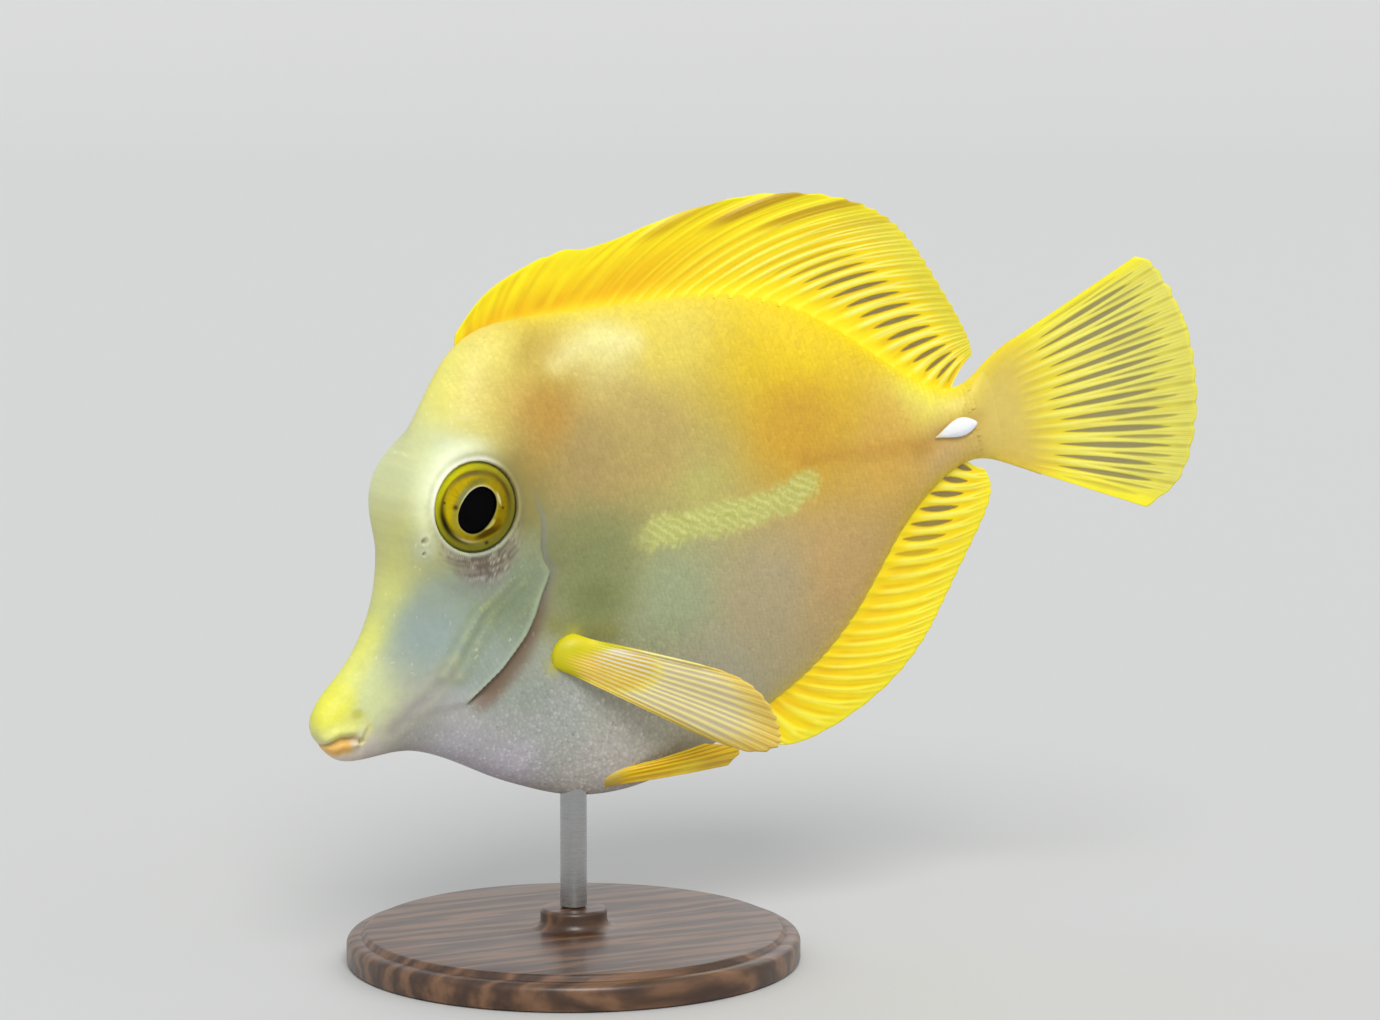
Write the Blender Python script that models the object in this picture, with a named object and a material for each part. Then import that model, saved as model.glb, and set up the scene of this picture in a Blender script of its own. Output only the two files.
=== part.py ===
# A yellow tang, life size, as a still museum model on a plain display stand.
#
# Sizes are in millimetres and are scaled to metres when a mesh is made.
# The fish is drawn in its own frame: s runs from the snout to the tail, z from
# belly to back and y from the left flank (negative) to the right. The tail is
# then bent to the left, the whole fish is pitched nose down, and it is set over
# the stand. World axes: the head points to -X, the left flank to -Y, +Z is up,
# and the origin is the centre of the underside of the stand's base.

import math

import bmesh
import bpy
import numpy as np
from mathutils import Vector
from mathutils.bvhtree import BVHTree

MM = 0.001
GAP = 0.3
WELD = 0.008
CUT_SHARP = 20.0

# Pose
PITCH = math.radians(14.0)
TAIL_BEND = math.radians(27.0)
BEND_FROM = 50.0
BEND_TO = 122.0
BEND_STEP = 0.5
FISH_END = 160.0

# Stand
BASE_RADIUS = 34.0
BASE_HEIGHT = 5.0
BASE_BEVEL = 1.2
BOSS_RADIUS = 5.0
BOSS_HEIGHT = 3.0
ROD_RADIUS = 2.0
ROD_STATION = 37.5
BELLY_HEIGHT = 25.0
ROUND_SIDES = 32
ROD_SIDES = 20

# Body ribs, snout to tail: back (s, z), belly (s, z), half width, and how full
# the section is: crown (boxy near the back), ridge and keel (sharp at the edge).
RIBS = [
    ((0.0, -16.5), (0.0, -16.5), 0.0, 2.2, 0.55, 0.55),
    ((0.7, -14.3), (0.7, -18.9), 1.9, 2.2, 0.55, 0.55),
    ((3.0, -11.8), (3.0, -22.0), 2.8, 2.2, 0.55, 0.55),
    ((7.0, -9.0), (8.2, -23.2), 3.3, 2.3, 0.52, 0.55),
    ((11.2, -5.0), (14.2, -24.3), 4.2, 2.6, 0.50, 0.58),
    ((15.1, 0.9), (20.2, -28.0), 5.7, 3.8, 0.50, 0.60),
    ((17.9, 7.9), (25.2, -32.0), 7.0, 6.0, 0.50, 0.60),
    ((20.7, 15.2), (29.8, -35.1), 7.9, 6.0, 0.52, 0.60),
    ((26.9, 22.9), (35.0, -38.1), 8.6, 3.9, 0.62, 0.60),
    ((34.8, 31.0), (41.5, -40.4), 9.1, 3.0, 0.70, 0.60),
    ((44.0, 33.0), (50.0, -41.2), 9.4, 2.0, 0.74, 0.62),
    ((55.0, 31.7), (60.0, -39.7), 9.3, 2.0, 0.74, 0.66),
    ((66.0, 30.3), (70.0, -36.8), 8.7, 2.0, 0.74, 0.70),
    ((77.0, 28.3), (80.0, -32.8), 7.6, 2.0, 0.74, 0.72),
    ((87.5, 24.0), (89.5, -25.6), 6.3, 2.0, 0.72, 0.72),
    ((96.5, 16.3), (97.5, -16.4), 5.2, 2.0, 0.68, 0.68),
    ((104.5, 7.6), (105.0, -9.7), 4.2, 2.0, 0.62, 0.62),
    ((111.0, 4.7), (111.2, -7.2), 3.3, 2.0, 0.58, 0.58),
    ((116.0, 7.6), (116.0, -8.9), 2.5, 2.0, 0.60, 0.60),
    ((120.8, 10.1), (120.8, -11.8), 1.6, 2.0, 0.62, 0.62),
]
LOWER_CROWN = 2.2
EDGE_ROUND = 0.9

# Where the body is parted, from the belly up
GILL_CUT = [
    (18.6, -27.2), (20.2, -22.6), (23.4, -18.0), (27.0, -15.4), (31.5, -12.1),
    (35.4, -7.4), (37.8, -2.6), (38.0, 2.4), (38.0, 10.0), (37.2, 20.0), (35.6, 31.3),
]
STALK_CUT = [(101.4, -12.4), (102.0, 0.0), (101.0, 10.9)]
TAIL_ROOT_CUT = [(118.2, -10.2), (120.4, -1.0), (118.2, 8.8)]

# Eye and socket
EYE_PLACE = (29.8, 9.5)
EYE_RADIUS = 6.3
EYE_CENTRE_Y = 7.9
EYE_PAD_Y = 8.9
EYE_PAD_RADIUS = 12.8
EYE_PAD_FADE = 5.4
EYE_PAD_FROM = 3.5
RIM_RADIUS = 7.2
RIM_TUBE = 0.75
RIM_SIDES = 6
RIM_SINK = 0.35
EYE_BULGE = 3.6
EYE_BACK = 3.4
PUPIL_RADIUS = 2.8
PUPIL_STEP = 0.25
EYE_SIDES = 24

# Head forms
NOSTRILS = [((21.6, 7.2), 0.50), ((22.6, 5.1), 0.38)]
NOSTRIL_DEPTH = 0.9
MOUTH_LINE = [(-2.0, -18.9), (1.5, -18.7), (3.1, -18.3), (5.0, -18.7), (6.1, -19.6)]
JAW_REAR = [(8.4, -21.6), (10.6, -25.5), (-2.0, -25.5)]
GILL_STEP = 0.45
CHEEK_RIDGE = [(31.8, -2.5), (26.4, -5.6), (22.4, -10.0), (19.6, -13.4)]

# Tail spine, a small blade folded into its groove on each side of the stalk
BLADE_FRONT = (106.0, -1.9)
BLADE_REAR = (112.4, -0.6)
BLADE_DEPTH = 2.5
BLADE_THICK = 0.9
BLADE_ROWS = 8

# Fins: (ray number, root s, tip s, tip z); rays between the rows are blended
DORSAL_SPINES = 5
DORSAL_RAYS = [
    (-3, 35.6, 36.2, 33.0),
    (-2, 38.2, 40.4, 36.3),
    (-1, 40.9, 45.4, 38.5),
    (0, 43.6, 51.8, 39.9),
    (1, 46.3, 55.8, 40.2),
    (2, 49.2, 62.0, 39.4),
    (3, 52.1, 69.0, 40.0),
    (4, 55.0, 76.5, 40.7),
    (6, 60.0, 88.5, 40.2),
    (9, 67.0, 100.2, 36.6),
    (13, 77.0, 107.2, 30.7),
    (18, 89.0, 110.8, 22.8),
    (23, 99.5, 113.8, 13.4),
    (28, 109.6, 114.2, 8.9),
]
DORSAL_ARCH = 0.07
ANAL_SPINES = 3
ANAL_RAYS = [
    (-1, 66.6, 67.6, -39.9),
    (0, 67.8, 70.2, -41.6),
    (1, 69.3, 73.2, -43.1),
    (2, 70.9, 77.5, -43.3),
    (4, 74.2, 87.0, -40.6),
    (7, 79.4, 96.0, -34.8),
    (11, 86.8, 102.2, -27.9),
    (15, 94.0, 108.2, -20.0),
    (19, 101.4, 112.8, -12.6),
    (22, 109.4, 112.6, -9.0),
]
ANAL_ARCH = 0.07
CAUDAL_RAYS = [
    (0, -10.2, 135.6, -20.3),
    (1, -9.2, 139.2, -18.7),
    (3, -6.6, 143.4, -14.0),
    (5, -3.8, 145.8, -7.4),
    (7, -1.2, 146.9, -1.0),
    (9, 1.3, 147.0, 4.4),
    (11, 3.8, 146.3, 9.8),
    (13, 6.3, 144.6, 14.8),
    (14, 7.5, 143.3, 17.0),
    (15, 8.8, 141.4, 18.2),
]
# Paired fins: (ray number, tip s, tip y, tip z) on the left side
PECTORAL_ROOT = [(39.6, -13.2), (35.8, -16.9)]
PECTORAL_RAYS = [
    (0, 54.2, -18.5, -21.2),
    (2, 59.5, -20.0, -24.5),
    (4, 62.6, -20.5, -28.1),
    (6, 64.6, -20.0, -32.2),
    (8, 65.2, -19.0, -35.4),
    (10, 64.4, -18.0, -37.2),
    (12, 60.0, -16.0, -37.0),
    (14, 52.8, -13.5, -31.9),
]
PELVIC_ROOT = [(44.6, -37.0), (41.4, -38.9)]
PELVIC_RAYS = [
    (0, 57.5, -6.6, -36.6),
    (2, 61.6, -6.6, -38.2),
    (4, 62.8, -6.2, -40.0),
    (5, 60.8, -5.8, -41.2),
]
ROOT_SLIDE = 2.2
MEMBRANE_HALF = 0.26
RAY_HALF = 0.46
SPINE_HALF = 0.62
TIP_HALF = 0.26
FIN_ROWS = 6
BODY_HEIGHTS = 29


def clear_scene():
    for item in list(bpy.data.objects):
        bpy.data.objects.remove(item, do_unlink=True)


def spline(knots, values, at):
    """Natural cubic spline through (knots, values), read at the given places."""
    x = np.asarray(knots, float)
    y = np.asarray(values, float)
    y = y.reshape(len(x), -1)
    h = np.diff(x)
    slope = np.diff(y, axis=0) / h[:, None]
    n = len(x)
    a = np.eye(n)
    b = np.zeros_like(y)
    for i in range(1, n - 1):
        a[i, i - 1] = h[i - 1]
        a[i, i] = 2.0 * (h[i - 1] + h[i])
        a[i, i + 1] = h[i]
        b[i] = 6.0 * (slope[i] - slope[i - 1])
    m = np.linalg.solve(a, b)
    at = np.asarray(at, float)
    q = np.clip(np.searchsorted(x, at.ravel()) - 1, 0, n - 2)
    d = at.ravel() - x[q]
    w = h[q]
    d = d[:, None]
    w = w[:, None]
    first = slope[q] - w * (2.0 * m[q] + m[q + 1]) / 6.0
    third = (m[q + 1] - m[q]) / (6.0 * w)
    out = y[q] + d * (first + d * (m[q] / 2.0 + d * third))
    return out.reshape(at.shape + (y.shape[1],))


RIB_ROWS = np.array([[r[0][0], r[0][1], r[1][0], r[1][1], r[2], r[3], r[4], r[5]] for r in RIBS])
LAST_RIB = len(RIBS) - 1


def ribs(u):
    return spline(range(len(RIBS)), RIB_ROWS, u)


def smooth(x):
    x = np.clip(x, 0.0, 1.0)
    return x * x * (3.0 - 2.0 * x)


def line_distance(points, s, z):
    """Distance from (s, z) to a polyline."""
    best = np.full(np.shape(s), 1e9)
    for (s0, z0), (s1, z1) in zip(points[:-1], points[1:]):
        length2 = (s1 - s0) ** 2 + (z1 - z0) ** 2
        k = np.clip(((s - s0) * (s1 - s0) + (z - z0) * (z1 - z0)) / length2, 0.0, 1.0)
        best = np.minimum(best, np.hypot(s - s0 - k * (s1 - s0), z - z0 - k * (z1 - z0)))
    return best


def bell(distance, width):
    return np.exp(-(distance / width) ** 2)


def relief(s, z):
    """How far the skin stands out from the plain section, in millimetres."""
    eye = np.hypot(s - EYE_PLACE[0], z - EYE_PLACE[1])
    out = 0.9 * bell(eye, 10.0)
    out += 0.30 * bell(line_distance(CHEEK_RIDGE, s, z), 1.6)
    out -= 0.55 * bell(np.hypot(s - 20.5, (z + 4.5) * 0.8), 5.0)
    edge = np.interp(z, [p[1] for p in GILL_CUT], [p[0] for p in GILL_CUT])
    ahead = edge - s
    low = smooth((8.0 - z) / 12.0) * smooth((z + 22.0) / 4.0)
    cover = np.where(ahead > 0.0, np.exp(-np.abs(ahead) / 3.0), -np.exp(-np.abs(ahead) / 1.8))
    out += GILL_STEP * low * cover
    lips = line_distance(MOUTH_LINE[1:4], s, z)
    out += 0.35 * bell(lips - 1.1, 0.8) * smooth((7.5 - s) / 3.0)
    groove = line_distance([BLADE_FRONT, BLADE_REAR], s, z)
    out -= 0.30 * bell(groove, 1.6)
    root = line_distance(PECTORAL_ROOT, s, z)
    out += 0.25 * bell(root, 3.0)
    return out


def body_point(u, t):
    """Left flank of the body at rib u and height t (-1 belly, +1 back)."""
    r = ribs(u)
    s = (r[..., 0] * (1 + t) + r[..., 2] * (1 - t)) / 2
    z = (r[..., 1] * (1 + t) + r[..., 3] * (1 - t)) / 2
    height = np.minimum(np.abs(t), 1.0)
    upper = (1.0 - height ** r[..., 5]) ** r[..., 6]
    lower = (1.0 - height ** LOWER_CROWN) ** r[..., 7]
    section = np.where(t > 0, upper, lower)
    rounding = np.minimum(EDGE_ROUND, 0.6 * np.hypot(r[..., 0] - r[..., 2], r[..., 1] - r[..., 3]) / 2)
    y = np.sqrt((r[..., 4] * section) ** 2 + rounding ** 2 * (1.0 - height ** 2))
    y = y + relief(s, z) * smooth(y / 2.5)
    eye = np.hypot(s - EYE_PLACE[0], z - EYE_PLACE[1])
    pad = smooth((EYE_PAD_RADIUS - eye) / EYE_PAD_FADE) * smooth(y / EYE_PAD_FROM)
    y = y + (EYE_PAD_Y - y) * pad
    return np.stack([s, -y, z], axis=-1)


def rib_at(s, z):
    """Rib u and height t of a place on the side view."""
    u = np.linspace(0.02, LAST_RIB, 1200)
    r = ribs(u)
    ds = r[:, 0] - r[:, 2]
    dz = r[:, 1] - r[:, 3]
    cross = (s - r[:, 2]) * dz - (z - r[:, 3]) * ds
    k = int(np.argmax(cross < 0.0)) - 1
    w = cross[k] / (cross[k] - cross[k + 1])
    b = r[k] + w * (r[k + 1] - r[k])
    along = ((s - b[2]) * (b[0] - b[2]) + (z - b[3]) * (b[1] - b[3]))
    along /= (b[0] - b[2]) ** 2 + (b[1] - b[3]) ** 2
    return u[k] + w * (u[k + 1] - u[k]), 2.0 * along - 1.0


def flank(s, z, out=0.0):
    """Point on the left flank at (s, z), standing out by the given distance."""
    u, t = rib_at(s, z)
    p = body_point(np.array(u), np.array(t))
    return np.array([s, p[1] - out, z])


def flank_normal(s, z):
    """Outward direction of the left flank."""
    step = 0.25
    ahead = flank(s + step, z) - flank(s - step, z)
    above = flank(s, z + step) - flank(s, z - step)
    out = np.cross(ahead, above)
    out = out * -np.sign(out[1])
    return out / np.linalg.norm(out)


def back_line(s, out):
    r = ribs(np.linspace(0.0, LAST_RIB, 1200))
    return np.interp(s, r[:, 0], r[:, 1]) + out


def belly_line(s, out):
    r = ribs(np.linspace(1.0, LAST_RIB, 1200))
    return np.interp(s, r[:, 2], r[:, 3]) - out


BEND_S = np.arange(-10.0, FISH_END, BEND_STEP)
BEND_ANGLE = TAIL_BEND * smooth((BEND_S - BEND_FROM) / (BEND_TO - BEND_FROM))


def along_bend(rate):
    path = np.concatenate([[0.0], np.cumsum((rate[1:] + rate[:-1]) / 2 * BEND_STEP)])
    return path - np.interp(0.0, BEND_S, path)


BEND_X = along_bend(np.cos(BEND_ANGLE))
BEND_Y = along_bend(-np.sin(BEND_ANGLE))


def pitched(points):
    """Fish frame to world directions: bend the tail, then pitch nose down."""
    p = np.asarray(points, float)
    s, y, z = p[..., 0], p[..., 1], p[..., 2]
    angle = np.interp(s, BEND_S, BEND_ANGLE)
    x = np.interp(s, BEND_S, BEND_X) + y * np.sin(angle)
    side = np.interp(s, BEND_S, BEND_Y) + y * np.cos(angle)
    c, n = math.cos(PITCH), math.sin(PITCH)
    return np.stack([x * c - z * n, side, x * n + z * c], axis=-1)


STAND_POINT = pitched([ROD_STATION, 0.0, belly_line(ROD_STATION, 0.0)])
TO_STAND = np.array([-STAND_POINT[0], 0.0, BELLY_HEIGHT - STAND_POINT[2]])


def world(points):
    return pitched(points) + TO_STAND


def material(name, colour, roughness, metallic=0.0):
    mat = bpy.data.materials.new(name)
    mat.use_nodes = True
    shader = mat.node_tree.nodes["Principled BSDF"]
    shader.inputs["Base Color"].default_value = (*colour, 1.0)
    shader.inputs["Roughness"].default_value = roughness
    shader.inputs["Metallic"].default_value = metallic
    return mat


def make_object(name, verts, faces, mat, sharp=40.0):
    """Mesh object from points in millimetres, world places."""
    mesh = bpy.data.meshes.new(name)
    mesh.from_pydata([tuple(v) for v in np.asarray(verts) * MM], [], [tuple(f) for f in faces])
    mesh.validate()
    mesh.materials.append(mat)
    mesh.shade_smooth()
    mesh.set_sharp_from_angle(angle=math.radians(sharp))
    obj = bpy.data.objects.new(name, mesh)
    bpy.context.scene.collection.objects.link(obj)
    return obj


def combine(obj, others, operation):
    """Join or cut a body with several closed shapes in one step, then weld."""
    group = bpy.data.collections.new("operands")
    for other in others:
        group.objects.link(other)
    mod = obj.modifiers.new("Cut", "BOOLEAN")
    mod.operand_type = "COLLECTION"
    mod.collection = group
    mod.operation = operation
    mod.solver = "EXACT"
    graph = bpy.context.evaluated_depsgraph_get()
    done = bpy.data.meshes.new_from_object(obj.evaluated_get(graph))
    obj.modifiers.clear()
    bpy.data.collections.remove(group)
    for other in others:
        bpy.data.objects.remove(other, do_unlink=True)
    bm = bmesh.new()
    bm.from_mesh(done)
    bmesh.ops.remove_doubles(bm, verts=bm.verts, dist=WELD * MM)
    bmesh.ops.dissolve_degenerate(bm, edges=bm.edges, dist=WELD * MM)
    bmesh.ops.triangulate(bm, faces=bm.faces)
    bm.to_mesh(done)
    bm.free()
    done.set_sharp_from_angle(angle=math.radians(CUT_SHARP))
    obj.data = done


def heights(count):
    """Section heights from belly to back, closer together at both edges."""
    even = np.linspace(-1.0, 1.0, count)
    return 0.55 * np.sin(even * math.pi / 2) + 0.45 * even


def cut_line(points, t):
    """Rib number of a cut at each height t."""
    places = [rib_at(s, z) for s, z in points]
    ts = [p[1] for p in places]
    us = [p[0] for p in places]
    ts[0], ts[-1] = -1.0, 1.0
    return spline(ts, us, t)[..., 0]


def cut_shift(u, t, gap):
    """Step in rib number that leaves the gap square to the cut."""
    eps = 1e-3
    across = (body_point(u + eps, t) - body_point(u - eps, t))[:, [0, 2]] / (2 * eps)
    place = body_point(u, t)[:, [0, 2]]
    along = np.gradient(place, axis=0)
    sine = np.abs(across[:, 0] * along[:, 1] - across[:, 1] * along[:, 0])
    sine /= np.linalg.norm(across, axis=1) * np.linalg.norm(along, axis=1)
    return gap / (np.linalg.norm(across, axis=1) * np.maximum(sine, 0.3))


def body_length(name, starts, ends, steps, count, mat, power=1.0):
    """One closed length of the body between two cuts (rib numbers at each height)."""
    t = heights(count)
    fractions = np.linspace(0.0, 1.0, steps + 1) ** power
    verts = []
    rings = []
    for f in fractions:
        u = starts + (ends - starts) * f
        left = body_point(u, t)
        if np.allclose(u, 0.0):
            rings.append([len(verts)] * (2 * count - 2))
            verts.append(left[count // 2] * [1, 0, 1])
            continue
        left[0, 1] = left[-1, 1] = 0.0
        ring = [p for p in left] + [p * [1, -1, 1] for p in left[-2:0:-1]]
        rings.append(list(range(len(verts), len(verts) + len(ring))))
        verts.extend(ring)
    faces = []
    size = 2 * count - 2
    for a, b in zip(rings[:-1], rings[1:]):
        for i in range(size):
            j = (i + 1) % size
            corners = [a[i], b[i], b[j], a[j]]
            faces.append([v for k, v in enumerate(corners) if v != corners[k - 1]])
    faces += cap(rings[-1], count, True)
    if len(set(rings[0])) > 1:
        faces += cap(rings[0], count, False)
    return make_object(name, world(verts), split_quads(faces), mat, 30.0)


def cap(ring, count, rear):
    """Cross cut: level strips from flank to flank."""
    size = 2 * count - 2
    faces = []
    for i in range(count - 1):
        strip = [ring[i], ring[(size - i) % size], ring[(size - i - 1) % size], ring[i + 1]]
        strip = [v for k, v in enumerate(strip) if v != strip[k - 1]]
        faces.append(strip if rear else strip[::-1])
    return faces


def split_quads(faces):
    out = []
    for f in faces:
        if len(f) == 4:
            out += [[f[0], f[1], f[2]], [f[0], f[2], f[3]]]
        else:
            out.append(f)
    return out


def prism(name, outline, half_width):
    """Side-view outline carried through from flank to flank, for cutting."""
    n = len(outline)
    verts = [(s, -half_width, z) for s, z in outline] + [(s, half_width, z) for s, z in outline]
    area = sum(a[0] * b[1] - b[0] * a[1] for a, b in zip(outline, outline[1:] + outline[:1]))
    faces = [list(range(n)), list(range(2 * n - 1, n - 1, -1))]
    faces += [[i, i + n, (i + 1) % n + n, (i + 1) % n] for i in range(n)]
    if area < 0:
        faces = [f[::-1] for f in faces]
    obj = make_object(name, world(verts), faces, CUT_PAINT)
    obj.hide_render = True
    obj.display_type = "WIRE"
    return obj


def grown(outline, gap):
    """Outline moved outward by the gap, corner by corner."""
    pts = np.array(outline)
    before = np.roll(pts, 1, axis=0)
    after = np.roll(pts, -1, axis=0)
    area = np.sum(pts[:, 0] * after[:, 1] - after[:, 0] * pts[:, 1])
    turn = 1.0 if area > 0 else -1.0
    out = []
    for a, p, b in zip(before, pts, after):
        e1 = (p - a) / np.linalg.norm(p - a)
        e2 = (b - p) / np.linalg.norm(b - p)
        n1 = np.array([e1[1], -e1[0]]) * turn
        n2 = np.array([e2[1], -e2[0]]) * turn
        mid = (n1 + n2) / (1.0 + n1 @ n2)
        out.append(tuple(p + mid * gap))
    return out


def eye_profile(grow):
    """Half outline of the eye, from the back to the front: (radius, out) pairs."""
    back = [(EYE_RADIUS * math.sin(a), -EYE_BACK * math.cos(a)) for a in np.radians([30, 62])]
    wall = [(EYE_RADIUS, -0.2), (EYE_RADIUS - 0.1, 0.55)]
    rim = [(EYE_RADIUS - 0.9, 1.15), (EYE_RADIUS - 2.0, 1.95)]
    iris = [(PUPIL_RADIUS, EYE_BULGE - 1.05), (PUPIL_RADIUS - 0.2, EYE_BULGE - 1.05 - PUPIL_STEP)]
    pupil = [(PUPIL_RADIUS * 0.5, EYE_BULGE - 1.05)]
    if grow > 0:
        front = [(EYE_RADIUS, EYE_BULGE + 2.0)]
        return [(r + grow, h - grow) for r, h in back + wall[:1]] + [(r + grow, h) for r, h in front]
    return back + wall + rim + iris + pupil


def turned(profile, ends, centre, side, sides):
    """Turn a profile about the sideways axis through the centre."""
    verts = [(centre[0], side * (centre[2] + ends[0]), centre[1])]
    rings = []
    for radius, out in profile:
        rings.append(range(len(verts), len(verts) + sides))
        for k in range(sides):
            a = 2 * math.pi * k / sides
            verts.append((centre[0] + radius * math.cos(a), side * (centre[2] + out),
                          centre[1] + radius * math.sin(a)))
    verts.append((centre[0], side * (centre[2] + ends[1]), centre[1]))
    faces = []
    for k in range(sides):
        m = (k + 1) % sides
        faces.append([0, rings[0][k], rings[0][m]])
        for a, b in zip(rings[:-1], rings[1:]):
            faces.append([a[k], b[k], b[m], a[m]])
        faces.append([rings[-1][k], len(verts) - 1, rings[-1][m]])
    if side < 0:
        faces = [f[::-1] for f in faces]
    return verts, split_quads(faces)


def eye(side, mat):
    name = "eye_left" if side < 0 else "eye_right"
    centre = (*EYE_PLACE, EYE_CENTRE_Y)
    verts, faces = turned(eye_profile(0.0), (-EYE_BACK, EYE_BULGE - 0.75), centre, side, EYE_SIDES)
    return make_object(name, world(verts), faces, mat, 60.0)


def eye_socket(side):
    centre = (*EYE_PLACE, EYE_CENTRE_Y)
    ends = (-EYE_BACK - GAP, EYE_BULGE + 2.0)
    verts, faces = turned(eye_profile(GAP), ends, centre, side, EYE_SIDES)
    return make_object("cut_socket", world(verts), faces, CUT_PAINT)


def eye_rim(side):
    """Raised ring of skin round the eye."""
    verts = []
    faces = []
    for k in range(EYE_SIDES):
        a = 2 * math.pi * k / EYE_SIDES
        for j in range(RIM_SIDES):
            b = 2 * math.pi * j / RIM_SIDES
            r = RIM_RADIUS + RIM_TUBE * math.cos(b)
            out = EYE_PAD_Y - RIM_SINK + RIM_TUBE * math.sin(b)
            verts.append((EYE_PLACE[0] + r * math.cos(a), side * out, EYE_PLACE[1] + r * math.sin(a)))
            here, on = k * RIM_SIDES, (k + 1) % EYE_SIDES * RIM_SIDES
            nxt = (j + 1) % RIM_SIDES
            faces.append([here + j, here + nxt, on + nxt, on + j])
    if side < 0:
        faces = [f[::-1] for f in faces]
    return make_object("join_rim", world(verts), split_quads(faces), CUT_PAINT)


def nostril(place, radius, side):
    depth = abs(flank(*place)[1])
    profile = [(radius, -NOSTRIL_DEPTH), (radius, 2.0)]
    verts, faces = turned(profile, (-NOSTRIL_DEPTH, 2.0), (*place, depth), side, 8)
    return make_object("cut_nostril", world(verts), faces, CUT_PAINT)


def head_and_jaw(skin, lip_paint):
    t = heights(BODY_HEIGHTS)
    ends = cut_line(GILL_CUT, t)
    head = body_length("head", np.zeros_like(t), ends, 24, len(t), skin, 1.2)
    jaw = head.copy()
    jaw.data = head.data.copy()
    jaw.name = "lower_jaw"
    jaw.data.materials[0] = lip_paint
    bpy.context.scene.collection.objects.link(jaw)
    outline = MOUTH_LINE + JAW_REAR
    combine(jaw, [prism("cut_jaw", outline, 9.0)], "INTERSECT")
    combine(head, [eye_rim(side) for side in (-1, 1)], "UNION")
    hollows = [prism("cut_head", grown(outline, GAP), 9.0)]
    for side in (-1, 1):
        hollows.append(eye_socket(side))
        hollows += [nostril(place, radius, side) for place, radius in NOSTRILS]
    combine(head, hollows, "DIFFERENCE")
    return head, jaw


def trunk(skin):
    t = heights(BODY_HEIGHTS)
    first = cut_line(GILL_CUT, t)
    last = cut_line(STALK_CUT, t)
    return body_length("trunk", first + cut_shift(first, t, GAP), last, 17, len(t), skin)


def tail_stalk(skin):
    t = heights(15)
    first = cut_line(STALK_CUT, t)
    last = cut_line(TAIL_ROOT_CUT, t)
    last = last - cut_shift(last, t, GAP)
    return body_length("tail_stalk", first + cut_shift(first, t, GAP), last, 7, len(t), skin)


def root_step(roots, along, normal, half):
    """From the root line to the place where a blade's face meets the flank."""
    steps = []
    for root, way, up, thick in zip(roots, along, normal, half):
        way = way / np.linalg.norm(way)
        out = flank_normal(root[0], root[2])
        slide = -thick * np.dot(up, out) / max(np.dot(way, out), 0.05)
        slide = min(max(slide, -ROOT_SLIDE * thick), ROOT_SLIDE * thick)
        steps.append(up * thick + way * slide)
    return np.array(steps)


def plate(name, centre, half, mat, seat=False, mirror=False):
    """Closed sheet from a grid of points (rows from root to edge) and half thicknesses.

    With seat, the root row lies on the left flank, clear of it by the gap.
    """
    rows, cols = half.shape
    along = np.gradient(centre, axis=0)
    across = np.gradient(centre, axis=1)
    normal = np.cross(along, across)
    normal /= np.maximum(np.linalg.norm(normal, axis=-1, keepdims=True), 1e-9)
    front = centre + normal * half[..., None]
    back = centre - normal * half[..., None]
    if seat:
        step = root_step(centre[0], along[0], normal[0], half[0])
        front[0] = [flank(p[0], p[2], GAP) for p in centre[0] + step]
        back[0] = [flank(p[0], p[2], GAP) for p in centre[0] - step]
    verts = np.concatenate([front.reshape(-1, 3), back.reshape(-1, 3)])
    n = rows * cols
    faces = []
    for i in range(rows - 1):
        for j in range(cols - 1):
            a, b = i * cols + j, i * cols + j + 1
            c, d = (i + 1) * cols + j + 1, (i + 1) * cols + j
            faces += [[a, c, b], [a, d, c]]
            faces += [[a + n, b + n, c + n], [a + n, c + n, d + n]]
    rim = [i for i in range(cols)]
    rim += [i * cols + cols - 1 for i in range(1, rows)]
    rim += [(rows - 1) * cols + j for j in range(cols - 2, -1, -1)]
    rim += [i * cols for i in range(rows - 2, 0, -1)]
    for a, b in zip(rim, rim[1:] + rim[:1]):
        faces += [[a, b, b + n], [a, b + n, a + n]]
    if mirror:
        verts = verts * [1, -1, 1]
        faces = [f[::-1] for f in faces]
    return make_object(name, world(verts), faces, mat, 50.0)


def ray_columns(first, last):
    """Column places across a fin: each ray's crest and the web beside it."""
    places = []
    crests = []
    for k in range(first, last):
        places += [k, k + 0.33, k + 0.67]
        crests += [1.0, 0.0, 0.0]
    return np.array(places + [last], float), np.array(crests + [1.0])


def fin_half(columns, crests, rows, spines, root_half, root_rows=0.18):
    """Half thickness of a rayed fin: ridges on the web, thicker at the root."""
    f = np.linspace(0.0, 1.0, rows + 1)[:, None]
    height = np.where(columns < spines - 0.5, SPINE_HALF, RAY_HALF)
    ray = TIP_HALF + (height - TIP_HALF) * (1.0 - f ** 1.5)
    web = MEMBRANE_HALF + 0.0 * ray
    half = np.where(crests > 0.5, ray, web)
    root = np.exp(-f / root_rows) * (1.0 - f)
    return half + (np.maximum(root_half, half) - half) * root


def rayed_grid(roots, tips, rows, arch, sign):
    """Points from each root to its tip along a shallow arch, in the fish's side view."""
    f = np.linspace(0.0, 1.0, rows + 1)[:, None, None]
    step = tips - roots
    square = np.stack([-step[:, 1], step[:, 0]], axis=-1) * sign
    return roots + step * f + square * (4 * arch * f * (1 - f))


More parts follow.
